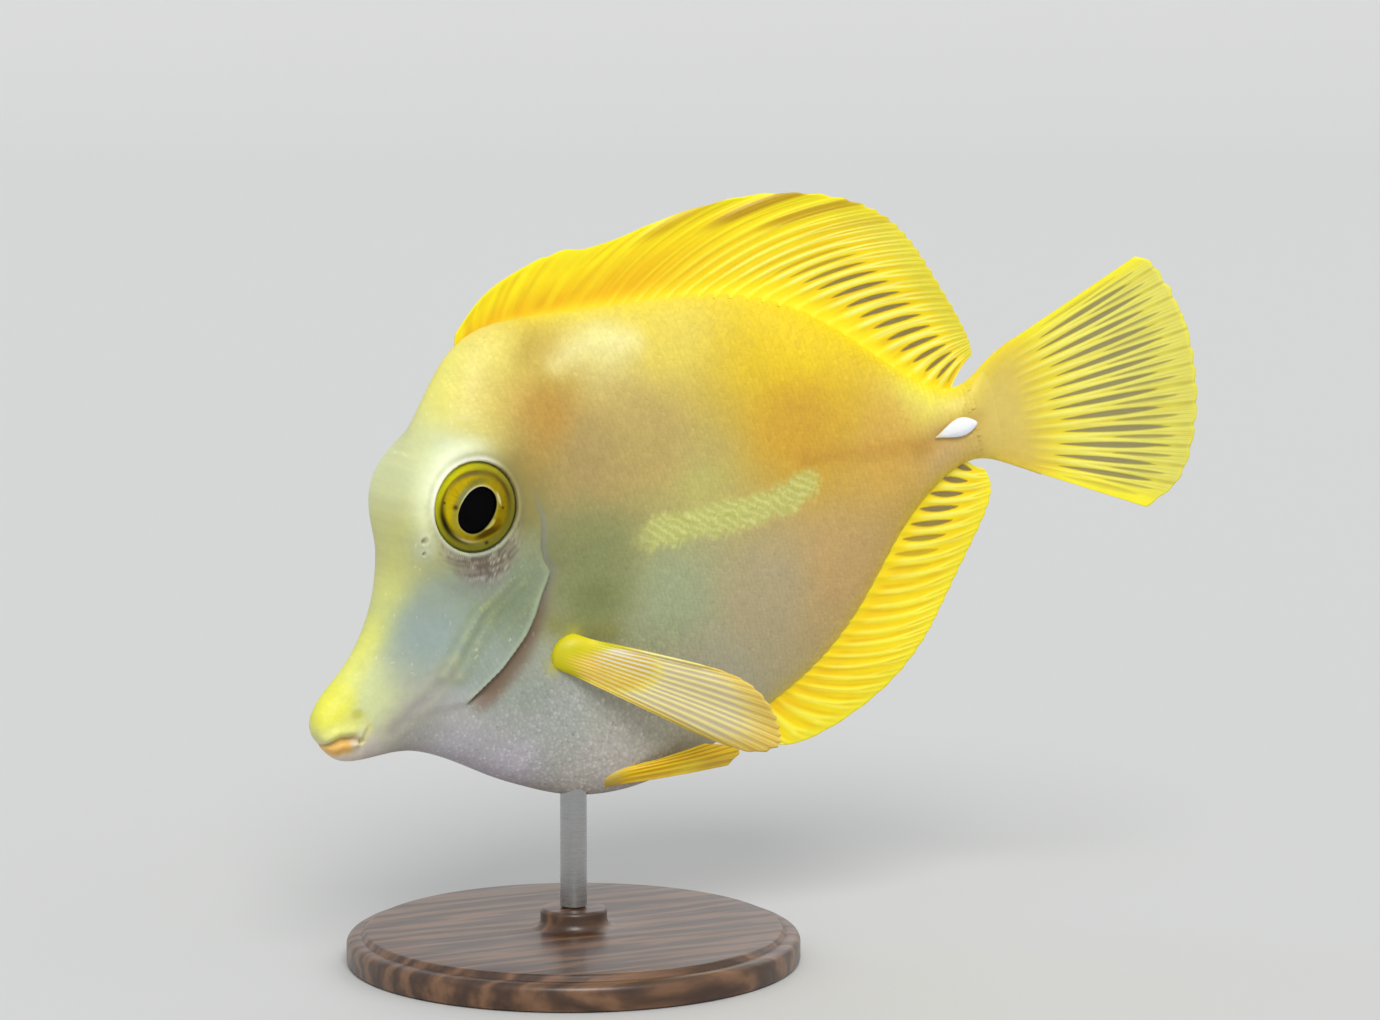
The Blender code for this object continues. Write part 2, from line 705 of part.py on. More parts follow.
def median_fin(name, table, base_line, spines, arch, sign, mat):
    """Dorsal or anal fin, rooted along the back or the belly."""
    numbers = [r[0] for r in table]
    columns, crests = ray_columns(numbers[0], numbers[-1])
    crests = crests * (columns > -0.5)
    values = spline(numbers, [r[1:] for r in table], columns)
    foot = values[:, 0]
    roots = np.stack([foot, base_line(foot, GAP)], axis=-1)
    tips = values[:, 1:3]
    side_view = rayed_grid(roots, tips, FIN_ROWS, arch, sign)
    points = np.stack([side_view[..., 0], 0 * side_view[..., 0], side_view[..., 1]], axis=-1)
    half = fin_half(columns, crests, FIN_ROWS, spines, 0.8)
    return plate(name, points, half, mat)


def caudal_fin(mat):
    numbers = [r[0] for r in CAUDAL_RAYS]
    columns, crests = ray_columns(numbers[0], numbers[-1])
    values = spline(numbers, [r[1:] for r in CAUDAL_RAYS], columns)
    t = np.linspace(-1.0, 1.0, len(columns))
    edge = cut_line(TAIL_ROOT_CUT, t)
    foot = body_point(edge, t)
    roots = foot[:, [0, 2]]
    side_view = rayed_grid(roots, values[:, 1:3], FIN_ROWS, 0.0, 1.0)
    points = np.stack([side_view[..., 0], 0 * side_view[..., 0], side_view[..., 1]], axis=-1)
    half = fin_half(columns, crests, FIN_ROWS, 0, 0.5)
    swell = np.maximum(np.abs(foot[:, 1]), 0.35)
    f = np.linspace(0.0, 1.0, FIN_ROWS + 1)[:, None]
    blend = np.exp(-(f / 0.16) ** 1.5)
    half = half * (1 - blend) + np.maximum(swell, half[0]) * blend
    return plate("caudal_fin", points, half, mat)


def paired_fin(name, root_line, table, rows, root_half, sag, mat, side):
    """Pectoral or pelvic fin, rooted on the flank."""
    numbers = [r[0] for r in table]
    columns, crests = ray_columns(numbers[0], numbers[-1])
    values = spline(numbers, [r[1:] for r in table], columns)
    k = (columns - columns[0]) / (columns[-1] - columns[0])
    (s0, z0), (s1, z1) = root_line
    roots = np.array([flank(s0 + (s1 - s0) * w, z0 + (z1 - z0) * w, GAP) for w in k])
    f = np.linspace(0.0, 1.0, rows + 1)[:, None, None]
    lift = np.array([0.0, -1.0, 0.0]) * sag * np.linalg.norm(values - roots, axis=1)[:, None]
    points = roots + (values - roots) * f + lift * (4 * f * (1 - f))
    half = fin_half(columns, crests, rows, 1, root_half)
    return plate(name, points, half, mat, seat=True, mirror=side > 0)


def tail_spine(side, mat):
    """Small sharp blade lying in its groove on the stalk."""
    name = "tail_spine_left" if side < 0 else "tail_spine_right"
    front = np.array(BLADE_FRONT)
    rear = np.array(BLADE_REAR)
    axis = rear - front
    square = np.array([-axis[1], axis[0]]) / np.linalg.norm(axis)
    lower = []
    upper = []
    for i in range(BLADE_ROWS + 1):
        f = i / BLADE_ROWS
        wide = BLADE_DEPTH / 2 * (math.sin(math.pi * f ** 0.8) ** 0.7) + 0.12
        for j in (-1.0, 0.0, 1.0):
            place = front + axis * f + square * wide * j
            thick = BLADE_THICK * (0.35 + 0.65 * (1 - abs(j)) * math.sin(math.pi * min(f + 0.08, 1.0) ** 0.9))
            lower.append(flank(*place, GAP))
            upper.append(flank(*place, GAP + max(thick, 0.3)))
    verts = np.array(upper + lower)
    if side > 0:
        verts = verts * [1, -1, 1]
    n = len(upper)
    faces = []
    for i in range(BLADE_ROWS):
        for j in range(2):
            a, b = i * 3 + j, i * 3 + j + 1
            c, d = b + 3, a + 3
            faces += [[a, d, c], [a, c, b], [a + n, c + n, d + n], [a + n, b + n, c + n]]
    rim = [i * 3 for i in range(BLADE_ROWS + 1)]
    rim += [BLADE_ROWS * 3 + 1, BLADE_ROWS * 3 + 2]
    rim += [i * 3 + 2 for i in range(BLADE_ROWS - 1, -1, -1)] + [1]
    for a, b in zip(rim, rim[1:] + rim[:1]):
        faces += [[a, a + n, b + n], [a, b + n, b]]
    if side > 0:
        faces = [f[::-1] for f in faces]
    return make_object(name, world(verts), faces, mat, 50.0)


def turned_upright(name, profile, mat, sides):
    """Solid turned about the world's vertical axis from (radius, height) pairs."""
    verts = [(0.0, 0.0, profile[0][1])]
    rings = []
    for radius, height in profile:
        rings.append(range(len(verts), len(verts) + sides))
        for k in range(sides):
            a = 2 * math.pi * k / sides
            verts.append((radius * math.cos(a), radius * math.sin(a), height))
    verts.append((0.0, 0.0, profile[-1][1]))
    faces = []
    for k in range(sides):
        m = (k + 1) % sides
        faces.append([0, rings[0][m], rings[0][k]])
        faces += [[a[k], a[m], b[m], b[k]] for a, b in zip(rings[:-1], rings[1:])]
        faces.append([rings[-1][k], rings[-1][m], len(verts) - 1])
    return make_object(name, verts, faces, mat, 30.0)


def stand_base(mat):
    edge = BASE_RADIUS
    profile = [(edge - 0.5, 0.0), (edge, 0.5), (edge, BASE_HEIGHT - BASE_BEVEL)]
    profile += [(edge - BASE_BEVEL * 0.3, BASE_HEIGHT - BASE_BEVEL * 0.3), (edge - BASE_BEVEL, BASE_HEIGHT)]
    profile += [(BOSS_RADIUS + 1.0, BASE_HEIGHT), (BOSS_RADIUS, BASE_HEIGHT + 1.0)]
    profile += [(BOSS_RADIUS, BASE_HEIGHT + BOSS_HEIGHT - 0.6), (BOSS_RADIUS - 0.6, BASE_HEIGHT + BOSS_HEIGHT)]
    return turned_upright("stand_base", profile, mat, ROUND_SIDES)


def stand_rod(mat, body):
    """Upright rod whose top is shaped to the belly above it."""
    foot = BASE_HEIGHT + BOSS_HEIGHT + GAP
    profile = [(ROD_RADIUS, foot), (ROD_RADIUS, foot + 1.0), (ROD_RADIUS, BELLY_HEIGHT - 4.0)]
    profile += [(ROD_RADIUS, BELLY_HEIGHT), (ROD_RADIUS * 0.5, BELLY_HEIGHT)]
    rod = turned_upright("stand_rod", profile, mat, ROD_SIDES)
    tree = BVHTree.FromObject(body, bpy.context.evaluated_depsgraph_get())
    for vert in rod.data.vertices:
        if vert.co.z > (BELLY_HEIGHT - 1.0) * MM:
            hit = tree.ray_cast(Vector((vert.co.x, vert.co.y, 0.0)), Vector((0.0, 0.0, 1.0)))
            vert.co.z = hit[0].z - GAP * MM
    return rod


CUT_PAINT = None


def build():
    global CUT_PAINT
    clear_scene()
    CUT_PAINT = material("cut_paint", (0.5, 0.5, 0.5), 0.5)
    skin = material("skin_yellow", (0.78, 0.66, 0.16), 0.45)
    face = material("face_pale_yellow", (0.70, 0.68, 0.36), 0.45)
    lip_paint = material("lip_orange", (0.80, 0.52, 0.20), 0.45)
    fin_paint = material("fin_yellow", (0.92, 0.74, 0.05), 0.5)
    eye_paint = material("eye_gold", (0.55, 0.45, 0.05), 0.15)
    blade_paint = material("blade_white", (0.90, 0.90, 0.86), 0.4)
    wood = material("stand_walnut", (0.16, 0.08, 0.04), 0.4)
    steel = material("stand_steel", (0.60, 0.60, 0.60), 0.3, 1.0)

    head_and_jaw(face, lip_paint)
    body = trunk(skin)
    tail_stalk(skin)
    median_fin("dorsal_fin", DORSAL_RAYS, back_line, DORSAL_SPINES, DORSAL_ARCH, 1.0, fin_paint)
    median_fin("anal_fin", ANAL_RAYS, belly_line, ANAL_SPINES, ANAL_ARCH, -1.0, fin_paint)
    caudal_fin(fin_paint)
    for side, word in ((-1, "left"), (1, "right")):
        eye(side, eye_paint)
        tail_spine(side, blade_paint)
        paired_fin("pectoral_fin_" + word, PECTORAL_ROOT, PECTORAL_RAYS, 5, 0.7, 0.04, fin_paint, side)
        paired_fin("pelvic_fin_" + word, PELVIC_ROOT, PELVIC_RAYS, 4, 0.7, 0.05, fin_paint, side)
    stand_base(wood)
    stand_rod(steel, body)


build()
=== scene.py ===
"""A yellow tang as a life-size museum model: the looks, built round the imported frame.

Sizes are in millimetres in the fish's own frame (s from snout to tail, y from the
left flank, negative, to the right, z from belly to back), which is bent, pitched
and set over the stand exactly as in the part's source.
"""

import math

import bpy
import numpy as np
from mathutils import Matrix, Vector

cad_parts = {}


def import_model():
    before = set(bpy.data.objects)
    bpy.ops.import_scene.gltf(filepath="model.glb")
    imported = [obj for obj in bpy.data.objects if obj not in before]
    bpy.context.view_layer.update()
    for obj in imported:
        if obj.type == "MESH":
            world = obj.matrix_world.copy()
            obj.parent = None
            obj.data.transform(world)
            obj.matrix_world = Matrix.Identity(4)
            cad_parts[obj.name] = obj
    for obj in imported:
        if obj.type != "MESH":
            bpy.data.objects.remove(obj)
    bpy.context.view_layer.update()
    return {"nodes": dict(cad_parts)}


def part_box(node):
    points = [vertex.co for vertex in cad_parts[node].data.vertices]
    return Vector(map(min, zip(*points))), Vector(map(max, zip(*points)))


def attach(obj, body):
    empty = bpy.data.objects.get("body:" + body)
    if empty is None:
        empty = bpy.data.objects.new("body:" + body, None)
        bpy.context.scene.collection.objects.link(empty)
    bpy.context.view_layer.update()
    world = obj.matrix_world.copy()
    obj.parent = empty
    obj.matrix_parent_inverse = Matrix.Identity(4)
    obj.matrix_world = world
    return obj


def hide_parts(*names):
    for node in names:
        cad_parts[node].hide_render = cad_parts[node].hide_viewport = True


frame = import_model()

MM = 0.001
PITCH = math.radians(14.0)
TAIL_BEND = math.radians(27.0)
BEND_FROM = 50.0
BEND_TO = 122.0
BEND_STEP = 0.5
FISH_END = 160.0
ROD_STATION = 37.5
BELLY_HEIGHT = 25.0

# Body ribs, snout to tail: back (s, z), belly (s, z), half width, crown, ridge, keel
RIBS = [
    ((0.0, -16.5), (0.0, -16.5), 0.0, 2.2, 0.55, 0.55),
    ((0.7, -14.3), (0.7, -18.9), 1.9, 2.2, 0.55, 0.55),
    ((3.0, -11.8), (3.0, -22.0), 2.8, 2.2, 0.55, 0.55),
    ((7.0, -9.0), (8.2, -23.2), 3.3, 2.3, 0.52, 0.55),
    ((11.2, -5.0), (14.2, -24.3), 4.2, 2.6, 0.50, 0.58),
    ((15.1, 0.9), (20.2, -28.0), 5.7, 3.8, 0.50, 0.60),
    ((17.9, 7.9), (25.2, -32.0), 7.0, 6.0, 0.50, 0.60),
    ((20.7, 15.2), (29.8, -35.1), 7.9, 6.0, 0.52, 0.60),
    ((26.9, 22.9), (35.0, -38.1), 8.6, 3.9, 0.62, 0.60),
    ((34.8, 31.0), (41.5, -40.4), 9.1, 3.0, 0.70, 0.60),
    ((44.0, 33.0), (50.0, -41.2), 9.4, 2.0, 0.74, 0.62),
    ((55.0, 31.7), (60.0, -39.7), 9.3, 2.0, 0.74, 0.66),
    ((66.0, 30.3), (70.0, -36.8), 8.7, 2.0, 0.74, 0.70),
    ((77.0, 28.3), (80.0, -32.8), 7.6, 2.0, 0.74, 0.72),
    ((87.5, 24.0), (89.5, -25.6), 6.3, 2.0, 0.72, 0.72),
    ((96.5, 16.3), (97.5, -16.4), 5.2, 2.0, 0.68, 0.68),
    ((104.5, 7.6), (105.0, -9.7), 4.2, 2.0, 0.62, 0.62),
    ((111.0, 4.7), (111.2, -7.2), 3.3, 2.0, 0.58, 0.58),
    ((116.0, 7.6), (116.0, -8.9), 2.5, 2.0, 0.60, 0.60),
    ((120.8, 10.1), (120.8, -11.8), 1.6, 2.0, 0.62, 0.62),
]
LOWER_CROWN = 2.2
EDGE_ROUND = 0.9
GILL_EDGE = [
    (22.0, -18.6), (23.4, -17.6), (25.6, -16.3), (28.0, -14.9), (30.4, -13.0), (32.6, -11.2),
    (34.6, -8.8), (36.3, -6.0), (37.6, -4.3), (38.5, -2.9), (37.9, -1.2), (37.8, 0.6), (38.5, 3.0),
    (38.9, 4.9), (38.6, 8.0), (38.0, 11.0),
]
EYE_PLACE = (29.8, 9.5)
EYE_RADIUS = 6.3
EYE_CENTRE_Y = 7.9
EYE_PAD_Y = 8.9
EYE_PAD_RADIUS = 12.8
EYE_PAD_FADE = 5.4
EYE_PAD_FROM = 3.5
NOSTRILS = [((20.6, 7.1), 0.42), ((20.3, 5.2), 0.18)]
MOUTH_LINE = [(-2.0, -18.9), (1.5, -18.7), (3.1, -18.3), (5.0, -18.7), (6.1, -19.6)]
MOUTH_FOLD = [(6.1, -19.7), (7.0, -18.7), (7.7, -17.8)]
CHEEK_RIDGE = [(31.8, -2.5), (26.4, -5.6), (22.4, -10.0), (19.6, -13.4)]
THROAT_FOLD = [(20.5, -12.6), (17.4, -15.2), (13.8, -17.6), (10.8, -19.6)]
# Raised ridge on the upper flank; its pale top and the pale patch round it are painted highlight.
SHEEN_RIDGE = [(48.5, 25.0), (52.0, 26.2), (57.0, 27.0), (62.0, 25.0)]
BLADE_FRONT = (106.0, -1.9)
BLADE_REAR = (112.4, -0.6)

# Fins: (ray number, root s, tip s, tip z), and (ray, tip s, tip y, tip z) for paired ones
DORSAL_SPINES = 5
DORSAL_RAYS = [
    (-3, 35.6, 36.2, 33.0), (-2, 38.2, 40.4, 36.3), (-1, 40.9, 45.4, 38.5), (0, 43.6, 51.8, 39.9),
    (1, 46.3, 55.8, 40.2), (2, 49.2, 62.0, 39.4), (3, 52.1, 69.0, 40.0), (4, 55.0, 76.5, 40.7),
    (6, 60.0, 88.5, 40.2), (9, 67.0, 100.2, 36.6), (13, 77.0, 107.2, 30.7), (18, 89.0, 110.8, 22.8),
    (23, 99.5, 113.8, 13.4), (28, 109.6, 114.2, 8.9),
]
ANAL_SPINES = 3
ANAL_RAYS = [
    (-1, 66.6, 67.6, -39.9), (0, 67.8, 70.2, -41.6), (1, 69.3, 73.2, -43.1), (2, 70.9, 77.5, -43.3),
    (4, 74.2, 87.0, -40.6), (7, 79.4, 96.0, -34.8), (11, 86.8, 102.2, -27.9), (15, 94.0, 108.2, -20.0),
    (19, 101.4, 112.8, -12.6), (22, 109.4, 112.6, -9.0),
]
FIN_ARCH = 0.07
ROOT_S = 114.0
NECK_S = 120.6
NECK_SHARE = 0.22
CAUDAL_RAYS = [
    (0, -10.2, 135.6, -20.3), (1, -9.2, 139.2, -18.7), (3, -6.6, 143.4, -14.0), (5, -3.8, 145.8, -7.4),
    (7, -1.2, 146.9, -1.0), (9, 1.3, 147.0, 4.4), (11, 3.8, 146.3, 9.8), (13, 6.3, 144.6, 14.8),
    (14, 7.5, 143.3, 17.0), (15, 8.8, 141.4, 18.2),
]
PECTORAL_ROOT = [(39.6, -13.2), (35.8, -16.9)]
PECTORAL_RAYS = [
    (0, 54.2, -18.5, -21.2), (2, 59.5, -20.0, -24.5), (4, 62.6, -20.5, -28.1), (6, 64.6, -20.0, -32.2),
    (8, 65.2, -19.0, -35.4), (10, 64.4, -18.0, -37.2), (12, 60.0, -16.0, -37.0), (14, 52.8, -13.5, -31.9),
]
PELVIC_ROOT = [(44.6, -37.0), (41.4, -38.9)]
PELVIC_RAYS = [
    (0, 57.5, -6.6, -36.6), (2, 61.6, -6.6, -38.2), (4, 62.8, -6.2, -40.0), (5, 60.8, -5.8, -41.2),
]

# Fineness of the skin and the scales
HEAD_COLUMNS = 290
BODY_COLUMNS = 150
SKIN_ROWS = 221
SCALE_STEP = 0.72
SCALE_ROW = 0.60
COAT_DEPTH = 0.08
TAIL_WEDGE_FROM = 16.9

# Where the eye shows, a little nearer the snout than its solid, and its visible radius
EYE_LOOK = (29.45, 9.6)
EYE_SHOWN = 6.45


# Number helpers

def smooth(x):
    x = np.clip(x, 0.0, 1.0)
    return x * x * (3.0 - 2.0 * x)


def bell(distance, width):
    return np.exp(-(np.asarray(distance) / width) ** 2)


def spline(knots, values, at):
    """Natural cubic spline through (knots, values), read at the given places."""
    x = np.asarray(knots, float)
    y = np.asarray(values, float).reshape(len(knots), -1)
    h = np.diff(x)
    slope = np.diff(y, axis=0) / h[:, None]
    n = len(x)
    a = np.eye(n)
    b = np.zeros_like(y)
    for i in range(1, n - 1):
        a[i, i - 1] = h[i - 1]
        a[i, i] = 2.0 * (h[i - 1] + h[i])
        a[i, i + 1] = h[i]
        b[i] = 6.0 * (slope[i] - slope[i - 1])
    m = np.linalg.solve(a, b)
    at = np.asarray(at, float)
    q = np.clip(np.searchsorted(x, at.ravel()) - 1, 0, n - 2)
    d = (at.ravel() - x[q])[:, None]
    w = h[q][:, None]
    first = slope[q] - w * (2.0 * m[q] + m[q + 1]) / 6.0
    out = y[q] + d * (first + d * (m[q] / 2.0 + d * (m[q + 1] - m[q]) / (6.0 * w)))
    return out.reshape(at.shape + (y.shape[1],))


def line_distance(points, s, z, with_place=False):
    """Distance from (s, z) to a polyline, and how far along it the nearest place is (0 to 1)."""
    best = np.full(np.shape(s), 1e9)
    place = np.zeros(np.shape(s))
    parts = len(points) - 1
    for i, ((s0, z0), (s1, z1)) in enumerate(zip(points[:-1], points[1:])):
        length2 = (s1 - s0) ** 2 + (z1 - z0) ** 2
        k = np.clip(((s - s0) * (s1 - s0) + (z - z0) * (z1 - z0)) / length2, 0.0, 1.0)
        d = np.hypot(s - s0 - k * (s1 - s0), z - z0 - k * (z1 - z0))
        place = np.where(d < best, (i + k) / parts, place)
        best = np.minimum(best, d)
    return (best, place) if with_place else best


def lattice(ix, iy, seed):
    """Repeatable random numbers in 0..1 for whole-number places."""
    h = (ix.astype(np.int64) * 374761393 + iy.astype(np.int64) * 668265263 + seed * 2147483647)
    h = (h ^ (h >> 13)) * 1274126177
    return ((h ^ (h >> 16)) & 0xFFFF) / 65535.0


def noise(x, y, seed=1):
    """Smooth value noise, -1 to 1."""
    ix, iy = np.floor(x), np.floor(y)
    fx, fy = smooth(x - ix), smooth(y - iy)
    a, b = lattice(ix, iy, seed), lattice(ix + 1, iy, seed)
    c, d = lattice(ix, iy + 1, seed), lattice(ix + 1, iy + 1, seed)
    return 2.0 * ((a * (1 - fx) + b * fx) * (1 - fy) + (c * (1 - fx) + d * fx) * fy) - 1.0


def cloud(x, y, seed=1, steps=3):
    total = 0.0
    for k in range(steps):
        total = total + noise(x * 2 ** k, y * 2 ** k, seed + k) / 2 ** k
    return total / 1.75


def blob(s, z, place, radii, tilt=0.0, soft=1.0):
    """Soft oval weight, 1 in the middle; soft is how wide its edge is against its size."""
    c, n = math.cos(math.radians(tilt)), math.sin(math.radians(tilt))
    a = ((s - place[0]) * c + (z - place[1]) * n) / radii[0]
    b = (-(s - place[0]) * n + (z - place[1]) * c) / radii[1]
    return smooth((1.0 + soft / 2 - np.hypot(a, b)) / soft)


# The body's surface

RIB_ROWS = np.array([[r[0][0], r[0][1], r[1][0], r[1][1], r[2], r[3], r[4], r[5]] for r in RIBS])
LAST_RIB = len(RIBS) - 1
GILL_S = [p[0] for p in GILL_EDGE]
GILL_Z = [p[1] for p in GILL_EDGE]


def ribs(u):
    return spline(range(len(RIBS)), RIB_ROWS, u)


def gill_weights(s, z):
    """How far behind the gill cover's edge a place is, and how open the slit is there."""
    edge = np.interp(z, GILL_Z, GILL_S)
    behind = (s - edge) * np.interp(z, [-18.6, -10.0, 0.0], [0.62, 0.75, 1.0])
    height = smooth((z + 19.2) / 1.8) * smooth((11.0 - z) / 8.0)
    return behind, height


def solid_relief(s, z):
    """The relief that the solids have too, but for the gill cover's edge, which is finer here."""
    eye = np.hypot(s - EYE_PLACE[0], z - EYE_PLACE[1])
    out = 0.9 * bell(eye, 10.0)
    out += 0.30 * bell(line_distance(CHEEK_RIDGE, s, z), 1.6)
    out -= 0.55 * bell(np.hypot(s - 20.5, (z + 4.5) * 0.8), 5.0)
    lips = line_distance(MOUTH_LINE[1:4], s, z)
    out += 0.35 * bell(lips - 1.1, 0.8) * smooth((7.5 - s) / 3.0)
    out -= 0.30 * bell(line_distance([BLADE_FRONT, BLADE_REAR], s, z), 1.6)
    out += 0.25 * bell(line_distance(PECTORAL_ROOT, s, z), 3.0)
    return out


def gill_relief(s, z):
    """The cover stands over the body behind it, most at its lower end."""
    behind, open_ = gill_weights(s, z)
    step = smooth((behind + 0.22) / 0.44)
    low = smooth((5.0 - z) / 9.0)
    cover = (0.20 + 0.28 * low) * np.exp(-np.clip(-behind, 0, 60) / 3.2)
    hollow = (0.22 + 0.62 * low) * np.exp(-np.clip(behind, 0, 60) / (1.3 + 0.7 * low))
    return open_ * (cover * (1 - step) - hollow * step)


def mouth_relief(s, z):
    above = z > np.interp(s, [p[0] for p in MOUTH_LINE], [p[1] for p in MOUTH_LINE])
    lips = line_distance(MOUTH_LINE[1:4], s, z)
    front = smooth((7.2 - s) / 2.0)
    out = 0.16 * bell(lips - 1.2, 0.7) * front * np.where(above, 1.2, 0.6)
    out -= 0.62 * bell(line_distance(MOUTH_LINE, s, z), 0.36)
    out -= 0.10 * bell(line_distance(MOUTH_FOLD, s, z), 0.4)
    out += 0.22 * bell(line_distance([(a - 0.8, b + 0.1) for a, b in MOUTH_FOLD], s, z), 0.55)
    return out


def cheek_relief(s, z):
    out = 0.0 * s
    for shift, size in ((0.0, 0.15), (2.1, 0.11)):
        ridge = [(a + shift, b - 0.35 * shift) for a, b in CHEEK_RIDGE]
        d, k = line_distance(ridge, s, z, True)
        out += size * bell(d, 0.5) * (0.7 + 0.3 * noise(k * 22.0, shift + 0 * k, 12))
    d = line_distance(THROAT_FOLD, s, z)
    out -= 0.05 * bell(d, 0.8) - 0.07 * bell(d - 1.4, 0.9)
    for (a, b), radius in NOSTRILS:
        d = np.hypot(s - a, z - b)
        out += 0.14 * bell(d - radius - 0.25, 0.28) - 0.75 * bell(d, radius * 0.8)
    return out


def fine_relief(s, z):
    """Folds, ridges and pores of the skin, in millimetres outwards."""
    out = gill_relief(s, z) + mouth_relief(s, z) + cheek_relief(s, z)
    patch = under_eye(s, z)
    turn = np.arctan2(z - EYE_LOOK[1], s - EYE_LOOK[0])
    r = np.hypot(s - EYE_LOOK[0], z - EYE_LOOK[1])
    out += patch * 0.075 * noise(turn * 7.0 + 1.6 * noise(s * 1.1, z * 1.1, 42), r * 4.4 + turn * 3.0, 43)
    out += patch * 0.045 * noise(turn * 20.0, r * 7.0, 6)
    out += 0.05 * cloud(s * 0.30, z * 0.30, 8) * smooth((s - 3.0) / 6.0)
    out += lateral_band(s, z) * 0.020 * band_ripples(s, z)
    out += 0.32 * bell(line_distance(SHEEN_RIDGE, s, z), 3.2)
    for k in range(8):
        place = (21.0 + k * 1.1 + noise(np.array(k * 7.3), np.array(1.7), 11), 15.5 - k * 3.4)
        out -= 0.05 * bell(np.hypot(s - place[0], z - place[1]), 0.3)
    return out


def eye_relief(s, z, y):
    """Pull the skin into the socket and raise the rim round the eye, most ahead and above."""
    a, b = s - EYE_LOOK[0], z - EYE_LOOK[1]
    r = np.hypot(a, b)
    angle = np.arctan2(b, a)
    upper = 0.5 + 0.5 * np.cos(angle - math.radians(125.0))
    y = y + (0.24 + 0.22 * upper) * bell(r - 6.95, 0.45)
    y = y + 0.45 * upper ** 2 * bell(r - 8.6, 1.7)
    brow = bell((angle - math.radians(152.0) + math.pi) % (2 * math.pi) - math.pi, 0.75)
    y = y + 1.15 * brow * bell(r - 9.4, 2.6) * smooth(y / 4.0)
    y = y + 0.035 * bell(r - 7.6, 0.8) * np.sin(angle * 19.0 + 3.0 * noise(a, b, 4))
    socket = smooth((6.66 - r) / 0.34)
    return y * (1 - socket) + (EYE_CENTRE_Y - 0.9) * socket


def section(u, t):
    r = ribs(u)
    s = (r[..., 0] * (1 + t) + r[..., 2] * (1 - t)) / 2
    z = (r[..., 1] * (1 + t) + r[..., 3] * (1 - t)) / 2
    height = np.minimum(np.abs(t), 1.0)
    upper = (1.0 - height ** r[..., 5]) ** r[..., 6]
    lower = (1.0 - height ** LOWER_CROWN) ** r[..., 7]
    full = np.where(t > 0, upper, lower)
    deep = np.hypot(r[..., 0] - r[..., 2], r[..., 1] - r[..., 3])
    rounding = np.minimum(EDGE_ROUND, 0.3 * deep)
    y = np.sqrt((r[..., 4] * full) ** 2 + rounding ** 2 * (1.0 - height ** 2))
    return s, z, y


def body_point(u, t, fine=True):
    """Left flank of the body at rib u and height t (-1 belly, +1 back)."""
    s, z, y = section(u, t)
    y = y + solid_relief(s, z) * smooth(y / 2.5)
    eye = np.hypot(s - EYE_PLACE[0], z - EYE_PLACE[1])
    pad = smooth((EYE_PAD_RADIUS - eye) / EYE_PAD_FADE) * smooth(y / EYE_PAD_FROM)
    y = y + (EYE_PAD_Y - y) * pad
    if fine:
        y = y + fine_relief(s, z) * smooth(y / 1.6)
        y = eye_relief(s, z, y)
    return np.stack([s, -y, z], axis=-1)


DENSE_U = np.linspace(0.02, LAST_RIB, 1200)
DENSE_RIBS = ribs(DENSE_U)


def rib_at(s, z):
    """Rib u and height t of places on the side view."""
    s, z = np.atleast_1d(s).astype(float), np.atleast_1d(z).astype(float)
    r = DENSE_RIBS
    ds, dz = r[:, 0] - r[:, 2], r[:, 1] - r[:, 3]
    cross = (s[:, None] - r[:, 2]) * dz - (z[:, None] - r[:, 3]) * ds
    k = np.clip(np.argmax(cross < 0.0, axis=1) - 1, 0, len(DENSE_U) - 2)
    i = np.arange(len(s))
    w = cross[i, k] / (cross[i, k] - cross[i, k + 1])
    b = r[k] + w[:, None] * (r[k + 1] - r[k])
    along = (s - b[:, 2]) * (b[:, 0] - b[:, 2]) + (z - b[:, 3]) * (b[:, 1] - b[:, 3])
    along /= (b[:, 0] - b[:, 2]) ** 2 + (b[:, 1] - b[:, 3]) ** 2
    return DENSE_U[k] + w * (DENSE_U[k + 1] - DENSE_U[k]), 2.0 * along - 1.0


def flank(s, z, out=0.0, fine=False):
    """Points on the left flank at (s, z), standing out by the given distance."""
    u, t = rib_at(s, z)
    p = body_point(u, t, fine)
    return np.stack([np.atleast_1d(s), p[:, 1] - out, np.atleast_1d(z)], axis=-1)


def back_line(s, out):
    return np.interp(s, DENSE_RIBS[:, 0], DENSE_RIBS[:, 1]) + out


def belly_line(s, out):
    r = DENSE_RIBS[60:]
    return np.interp(s, r[:, 2], r[:, 3]) - out


BEND_S = np.arange(-10.0, FISH_END, BEND_STEP)
BEND_ANGLE = TAIL_BEND * smooth((BEND_S - BEND_FROM) / (BEND_TO - BEND_FROM))


def along_bend(rate):
    path = np.concatenate([[0.0], np.cumsum((rate[1:] + rate[:-1]) / 2 * BEND_STEP)])
    return path - np.interp(0.0, BEND_S, path)


BEND_X = along_bend(np.cos(BEND_ANGLE))
BEND_Y = along_bend(-np.sin(BEND_ANGLE))


def pitched(points):
    """Fish frame to world directions: bend the tail, then pitch nose down."""
    p = np.asarray(points, float)
    s, y, z = p[..., 0], p[..., 1], p[..., 2]
    angle = np.interp(s, BEND_S, BEND_ANGLE)
    x = np.interp(s, BEND_S, BEND_X) + y * np.sin(angle)
    side = np.interp(s, BEND_S, BEND_Y) + y * np.cos(angle)
    c, n = math.cos(PITCH), math.sin(PITCH)
    return np.stack([x * c - z * n, side, x * n + z * c], axis=-1)


STAND_POINT = pitched([ROD_STATION, 0.0, belly_line(ROD_STATION, 0.0)])
TO_STAND = np.array([-STAND_POINT[0], 0.0, BELLY_HEIGHT - STAND_POINT[2]])


